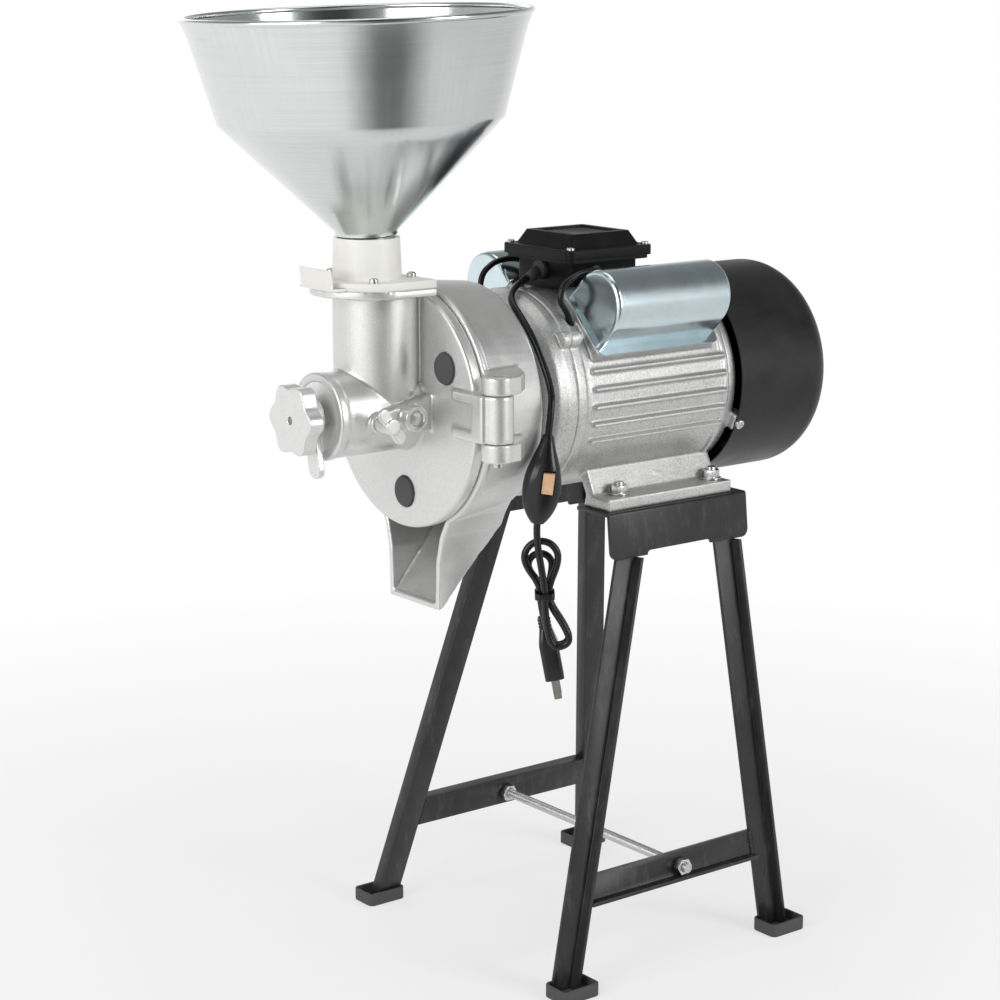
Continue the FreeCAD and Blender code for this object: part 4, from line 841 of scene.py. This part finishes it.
class GRINDER_OT_funnel(bpy.types.Operator):
    """Spun funnel with its rolled rim, and the moulded seat and gate under it"""

    bl_idname = "grinder.funnel"
    bl_label = "Funnel"

    def execute(self, context):
        outer = [(NECK[0][0], SPIGOT_END), *NECK, *between(NECK[-1], CONE_END, 8)]
        outer += [*SHOULDER, *between(SHOULDER[-1], RIM, 6)]
        roll = [(RIM[0] + RIM_ROLL * math.cos(a), RIM[1] + RIM_ROLL * math.sin(a))
                for a in map(math.radians, RIM_TURN)]
        inner = [(r - FUNNEL_WALL, z + WALL_RISE) for r, z in reversed(outer[1:])]
        funnel = turned("funnel", outer + roll + inner + [(SPIGOT_BORE, SPIGOT_END)], FUNNEL_STEPS)
        smooth(funnel, 40)
        funnel.location = row(*HOPPER_AT)
        funnel.rotation_euler = (0, math.radians(-HOPPER_LEAN), 0)
        settle(context, funnel, "hopper")
        rounded(context, "hopper_seat", segments=3)
        rounded(context, "feed_gate")
        dress(context, "seat_screws")
        return {"FINISHED"}


class GRINDER_OT_motor_covers(bpy.types.Operator):
    """Fan cover, capacitor covers and the terminal box on the motor"""

    bl_idname = "grinder.motor_covers"
    bl_label = "Motor covers"

    def execute(self, context):
        dress(context, "fan_cover", "capacitor_cover_near", "capacitor_cover_far")
        for node in ("terminal_box", "terminal_box_lid"):
            rounded(context, node, segments=3)
        dress(context, "terminal_block", "box_grommets", "capacitors")
        return {"FINISHED"}


# The stand's frames in the motor's frame: half their distance at the top, and their lean
STAND_Y = 86.0
STAND_LEAN = 6.1
FOOT_PLANE = -90.0
# Welds of the cross bars: where each bar's end meets its leg at the bar's lower and upper edge,
# before the frames lean out, as along, out and height
BAR_FOOT = -399
BAR_TOP = -379
WELDS = {"near": (((-121.3, 0.8, BAR_FOOT), (-115.8, 0.8, BAR_TOP)),
                  ((60.1, 0.2, BAR_FOOT), (58.4, 0.2, BAR_TOP))),
         "far": (((-116.4, 0.2, BAR_FOOT), (-110.7, 0.2, BAR_TOP)),
                 ((69.5, 0.8, BAR_FOOT), (67.8, 0.8, BAR_TOP)))}
# The bead's radius, and its puddles' distance and wander, in millimetres; its grain in metres
BEAD_R = 1.9
BEAD_STEP = 1.9
BEAD_WANDER = 0.4
BEAD_GRAIN = 0.00038
PUDDLE_SIZES = (0.8, 1.15)
PUDDLE_FORM = (1.25, 0.75, 1, 1)


def leaned(side, x, out, z):
    """Point on a leaning frame, given a distance out from its outer face."""
    a = math.radians(STAND_LEAN)
    y = STAND_Y + out * math.cos(a) - (z - FOOT_PLANE) * math.sin(a)
    height = FOOT_PLANE + (z - FOOT_PLANE) * math.cos(a) + out * math.sin(a)
    return row(x, -y if side == "near" else y, height)


def weld(context, side, ends):
    """Welding bead: overlapping puddles laid along a seam, melted into one."""
    start, end = (leaned(side, *point) for point in ends)
    steps = round((end - start).length * 1000 / BEAD_STEP)
    chance = random.Random(steps)
    form = bmesh.new()
    for i in range(steps + 1):
        size = BEAD_R / 1000 * chance.uniform(*PUDDLE_SIZES)
        aside = chance.uniform(-BEAD_WANDER, BEAD_WANDER) / 1000
        place = Matrix.Translation(start.lerp(end, i / steps) + Vector((aside, 0, 0)))
        bmesh.ops.create_icosphere(form, subdivisions=2, radius=size,
                                   matrix=place @ Matrix.Diagonal(PUDDLE_FORM))
    mesh = bpy.data.meshes.new("weld")
    form.to_mesh(mesh)
    form.free()
    bead = bpy.data.objects.new(f"weld_{side}_{'front' if start.x < 0 else 'rear'}", mesh)
    context.scene.collection.objects.link(bead)
    even_grain(bead, BEAD_GRAIN)
    fix_modifiers(bead)
    attach(context, bead, "stand_brace_" + side)


class GRINDER_OT_stand(bpy.types.Operator):
    """Angle-iron stand with its welds, feet and tie rod"""

    bl_idname = "grinder.stand"
    bl_label = "Stand"

    def execute(self, context):
        for side, seams in WELDS.items():
            rounded(context, "stand_plate_" + side)
            rounded(context, "stand_brace_" + side)
            for end in ("front", "rear"):
                rounded(context, f"stand_leg_{side}_{end}")
            for ends in seams:
                weld(context, side, ends)
        rounded(context, "rubber_feet", segments=3)
        dress(context, "tie_rod")
        return {"FINISHED"}


class GRINDER_OT_fasteners(bpy.types.Operator):
    """Bolts, nuts, screws, pins and rubber plugs"""

    bl_idname = "grinder.fasteners"
    bl_label = "Fasteners"

    def execute(self, context):
        for node in ("motor_bolts", "tie_rod_nuts"):
            rounded(context, node)
        rounded(context, "disc_plugs", segments=3)
        dress(context, "motor_screws", "housing_screws", "hinge_pin", "fixed_disc_screws")
        return {"FINISHED"}


class GRINDER_OT_inside(bpy.types.Operator):
    """Discs, auger, rotor, windings and bearings"""

    bl_idname = "grinder.inside"
    bl_label = "Inside"

    def execute(self, context):
        dress(context, "fixed_disc", "rotating_disc", "disc_carrier", "feed_auger", "motor_shaft",
              "rotor_core", "stator_core", "stator_windings", "cooling_fan", "shaft_seal",
              "bearing_balls", "bearing_inner_rings", "bearing_outer_rings")
        return {"FINISHED"}


# Each lamp's place, and its width and height
LAMPS = {"left": ((-2.2, -0.3, 1.3), (1.6, 1.6)), "right": ((0.9, -2.1, 1.2), (0.9, 1.6)),
         "top": ((0.1, 0.2, 2.3), (1.4, 1.4)), "back": ((0.6, 2.0, 1.4), (1.2, 1.2))}
LAMPS_AIM = (0, 0, 0.42)


def lamp(name, place, size, power):
    """Rectangular lamp that faces the grinder."""
    data = bpy.data.lights.new(name, "AREA")
    data.shape = "RECTANGLE"
    data.size, data.size_y = size
    data.energy = power
    made = bpy.data.objects.new(name, data)
    bpy.context.scene.collection.objects.link(made)
    made.location = place
    towards = Vector(LAMPS_AIM) - Vector(place)
    made.rotation_euler = towards.to_track_quat("-Z", "Y").to_euler()


# What metal mirrors, by the way it faces in degrees: white at the mill's end, a dark strip beside
# where the photograph was taken, and greyer at the motor's side and overhead
STRIP_AT = -108
STRIP_HALF = (9, 33)
STRIP_LEVEL = 0.20
GREY_SIDE_AT = -50
GREY_SIDE_HALF = (55, 100)
GREY_SIDE_LEVEL = 0.72
CEILING_FROM = (0.0, 0.5)
CEILING_LEVEL = 0.25
# The floor's glow next to the grinder, and the distances over which the glow and what metal
# mirrors of it become full
FLOOR_SHARE = 0.6
FLOOR_NEAR = (0.3, 1.2)
MIRRORED_NEAR = (0.25, 0.8)
FLOOR_HALF = 60
FLOOR_COLOUR = (0.90, 0.90, 0.90)
SENSOR_WIDTH = 36


def mirrored_walls(nodes, x, y):
    """Brightness that metal sees in the level direction (x, y)."""
    angle = nodes.sum("ARCTAN2", y, x)
    strip_off = nodes.sum("ABSOLUTE", nodes.sum("SUBTRACT", angle, math.radians(STRIP_AT)), 0)
    side_off = nodes.sum("ABSOLUTE", nodes.sum("SUBTRACT", angle, math.radians(GREY_SIDE_AT)), 0)
    strip = nodes.spread(strip_off, STRIP_LEVEL, 1.0, *map(math.radians, STRIP_HALF))
    side = nodes.spread(side_off, GREY_SIDE_LEVEL, 1.0, *map(math.radians, GREY_SIDE_HALF))
    return nodes.sum("MULTIPLY", strip, side)


def floor_material(name, colour):
    """Pale floor: lit by the lamps round the object, and plain white to the eye further out."""
    finish = Finish(name, colour=colour, rough=0.9, gloss=0.1)
    rays = finish.node("ShaderNodeLightPath")
    eye = finish.sum("MAXIMUM", rays.outputs["Is Camera Ray"], rays.outputs["Is Transmission Ray"])
    seen = finish.sum("MAXIMUM", eye, rays.outputs["Is Glossy Ray"])
    place = finish.place()
    out = finish.node("ShaderNodeVectorMath", operation="LENGTH")
    finish.join(place, out.inputs[0])
    share = finish.spread(out.outputs["Value"], FLOOR_SHARE, 1.0, *FLOOR_NEAR)
    apart = finish.node("ShaderNodeSeparateXYZ")
    finish.join(place, apart.inputs[0])
    walls = mirrored_walls(finish, apart.outputs["X"], apart.outputs["Y"])
    shaded = finish.sum("MULTIPLY", finish.share(out.outputs["Value"], *MIRRORED_NEAR),
                        finish.sum("SUBTRACT", 1.0, walls))
    dimmed = finish.sum("MULTIPLY", shaded, finish.sum("SUBTRACT", 1.0, eye))
    glow = finish.node("ShaderNodeEmission")
    glow.inputs["Color"].default_value = (1, 1, 1, 1)
    finish.join(finish.sum("SUBTRACT", 1.0, dimmed), glow.inputs["Strength"])
    mix = finish.node("ShaderNodeMixShader")
    finish.join(finish.sum("MULTIPLY", seen, share), mix.inputs["Fac"])
    finish.join(finish.surface.outputs[0], mix.inputs[1])
    finish.join(glow.outputs[0], mix.inputs[2])
    finish.join(mix.outputs[0], finish.tree.nodes["Material Output"].inputs["Surface"])
    speck = finish.noise(place, 30, detail=2, rough=0.5)
    finish.colour(finish.blend(speck, shade(colour, 0.99), colour))
    return finish.material


def white_room(light):
    """World: white to the eye, and shaded walls and ceiling to metal."""
    world = bpy.data.worlds.new("white room")
    world.use_nodes = True
    nodes = Nodes(world.node_tree)
    rays = nodes.node("ShaderNodeLightPath")
    way = nodes.node("ShaderNodeSeparateXYZ")
    nodes.join(nodes.node("ShaderNodeTexCoord").outputs["Generated"], way.inputs[0])
    walls = mirrored_walls(nodes, way.outputs["X"], way.outputs["Y"])
    ceiling = nodes.spread(way.outputs["Z"], 1.0, CEILING_LEVEL, *CEILING_FROM)
    mirrored = nodes.sum("MULTIPLY", walls, ceiling)
    eye = nodes.sum("MAXIMUM", rays.outputs["Is Camera Ray"], rays.outputs["Is Transmission Ray"])
    plain = nodes.sum("MULTIPLY", nodes.sum("SUBTRACT", 1.0, eye), light)
    glossy = nodes.sum("MULTIPLY", rays.outputs["Is Glossy Ray"],
                       nodes.sum("SUBTRACT", mirrored, light))
    level = nodes.sum("ADD", eye, nodes.sum("ADD", plain, glossy))
    background = world.node_tree.nodes["Background"]
    nodes.join(level, background.inputs["Strength"])
    background.inputs["Color"].default_value = (1, 1, 1, 1)
    return world


class GRINDER_OT_stage(bpy.types.Operator):
    """Camera, lamps, white surroundings and a pale floor"""

    bl_idname = "grinder.stage"
    bl_label = "Stage"

    def execute(self, context):
        scene, stage = context.scene, context.scene.grinder_stage
        scene.view_settings.view_transform = "Standard"
        data = bpy.data.cameras.new("photo_camera")
        data.lens = stage.camera_lens
        data.sensor_width = SENSOR_WIDTH
        camera = bpy.data.objects.new("photo_camera", data)
        scene.collection.objects.link(camera)
        camera.location = stage.camera_place
        camera.rotation_euler = (math.radians(90 - CAMERA_DROP), 0, math.radians(CAMERA_YAW - 90))
        scene.camera = camera
        for side, (place, size) in LAMPS.items():
            lamp(side + "_lamp", place, size, getattr(stage, side + "_power"))
        signs = ((-1, -1), (1, -1), (1, 1), (-1, 1))
        corners = [(x * FLOOR_HALF, y * FLOOR_HALF, 0) for x, y in signs]
        floor = mesh_piece("floor", corners, [(0, 1, 2, 3)])
        floor.data.materials.append(floor_material("pale floor", FLOOR_COLOUR))
        scene.world = white_room(stage.room_light)
        return {"FINISHED"}


STEPS = (GRINDER_OT_stage, GRINDER_OT_lead, GRINDER_OT_castings, GRINDER_OT_funnel,
         GRINDER_OT_motor_covers, GRINDER_OT_stand, GRINDER_OT_fasteners, GRINDER_OT_inside)


class GRINDER_PT_pieces(bpy.types.Panel):
    """Lists the grinder's sizes, colours and pieces"""

    bl_idname = "GRINDER_PT_pieces"
    bl_label = "Food grinder"
    bl_space_type = "VIEW_3D"
    bl_region_type = "UI"
    bl_category = "Grinder"

    def draw(self, context):
        for group in ("grinder_shape", "grinder_finish", "grinder_stage"):
            settings = getattr(context.scene, group)
            box = self.layout.box()
            for name in settings.__annotations__:
                box.prop(settings, name)
        for step in STEPS:
            self.layout.operator(step.bl_idname)


GROUPS = {"grinder_finish": GrinderFinish, "grinder_shape": GrinderShape,
          "grinder_stage": GrinderStage}


def register():
    """Add the settings, the operators and the panel."""
    for name, group in GROUPS.items():
        bpy.utils.register_class(group)
        setattr(bpy.types.Scene, name, PointerProperty(type=group))
    for step in (*STEPS, GRINDER_PT_pieces):
        bpy.utils.register_class(step)


def unregister():
    """Take them away again."""
    for step in (*reversed(STEPS), GRINDER_PT_pieces):
        bpy.utils.unregister_class(step)
    for name, group in GROUPS.items():
        delattr(bpy.types.Scene, name)
        bpy.utils.unregister_class(group)


def main():
    """Make every piece in order."""
    register()
    for step in STEPS:
        family, name = step.bl_idname.split(".")
        getattr(getattr(bpy.ops, family), name)()


if __name__ == "__main__":
    main()
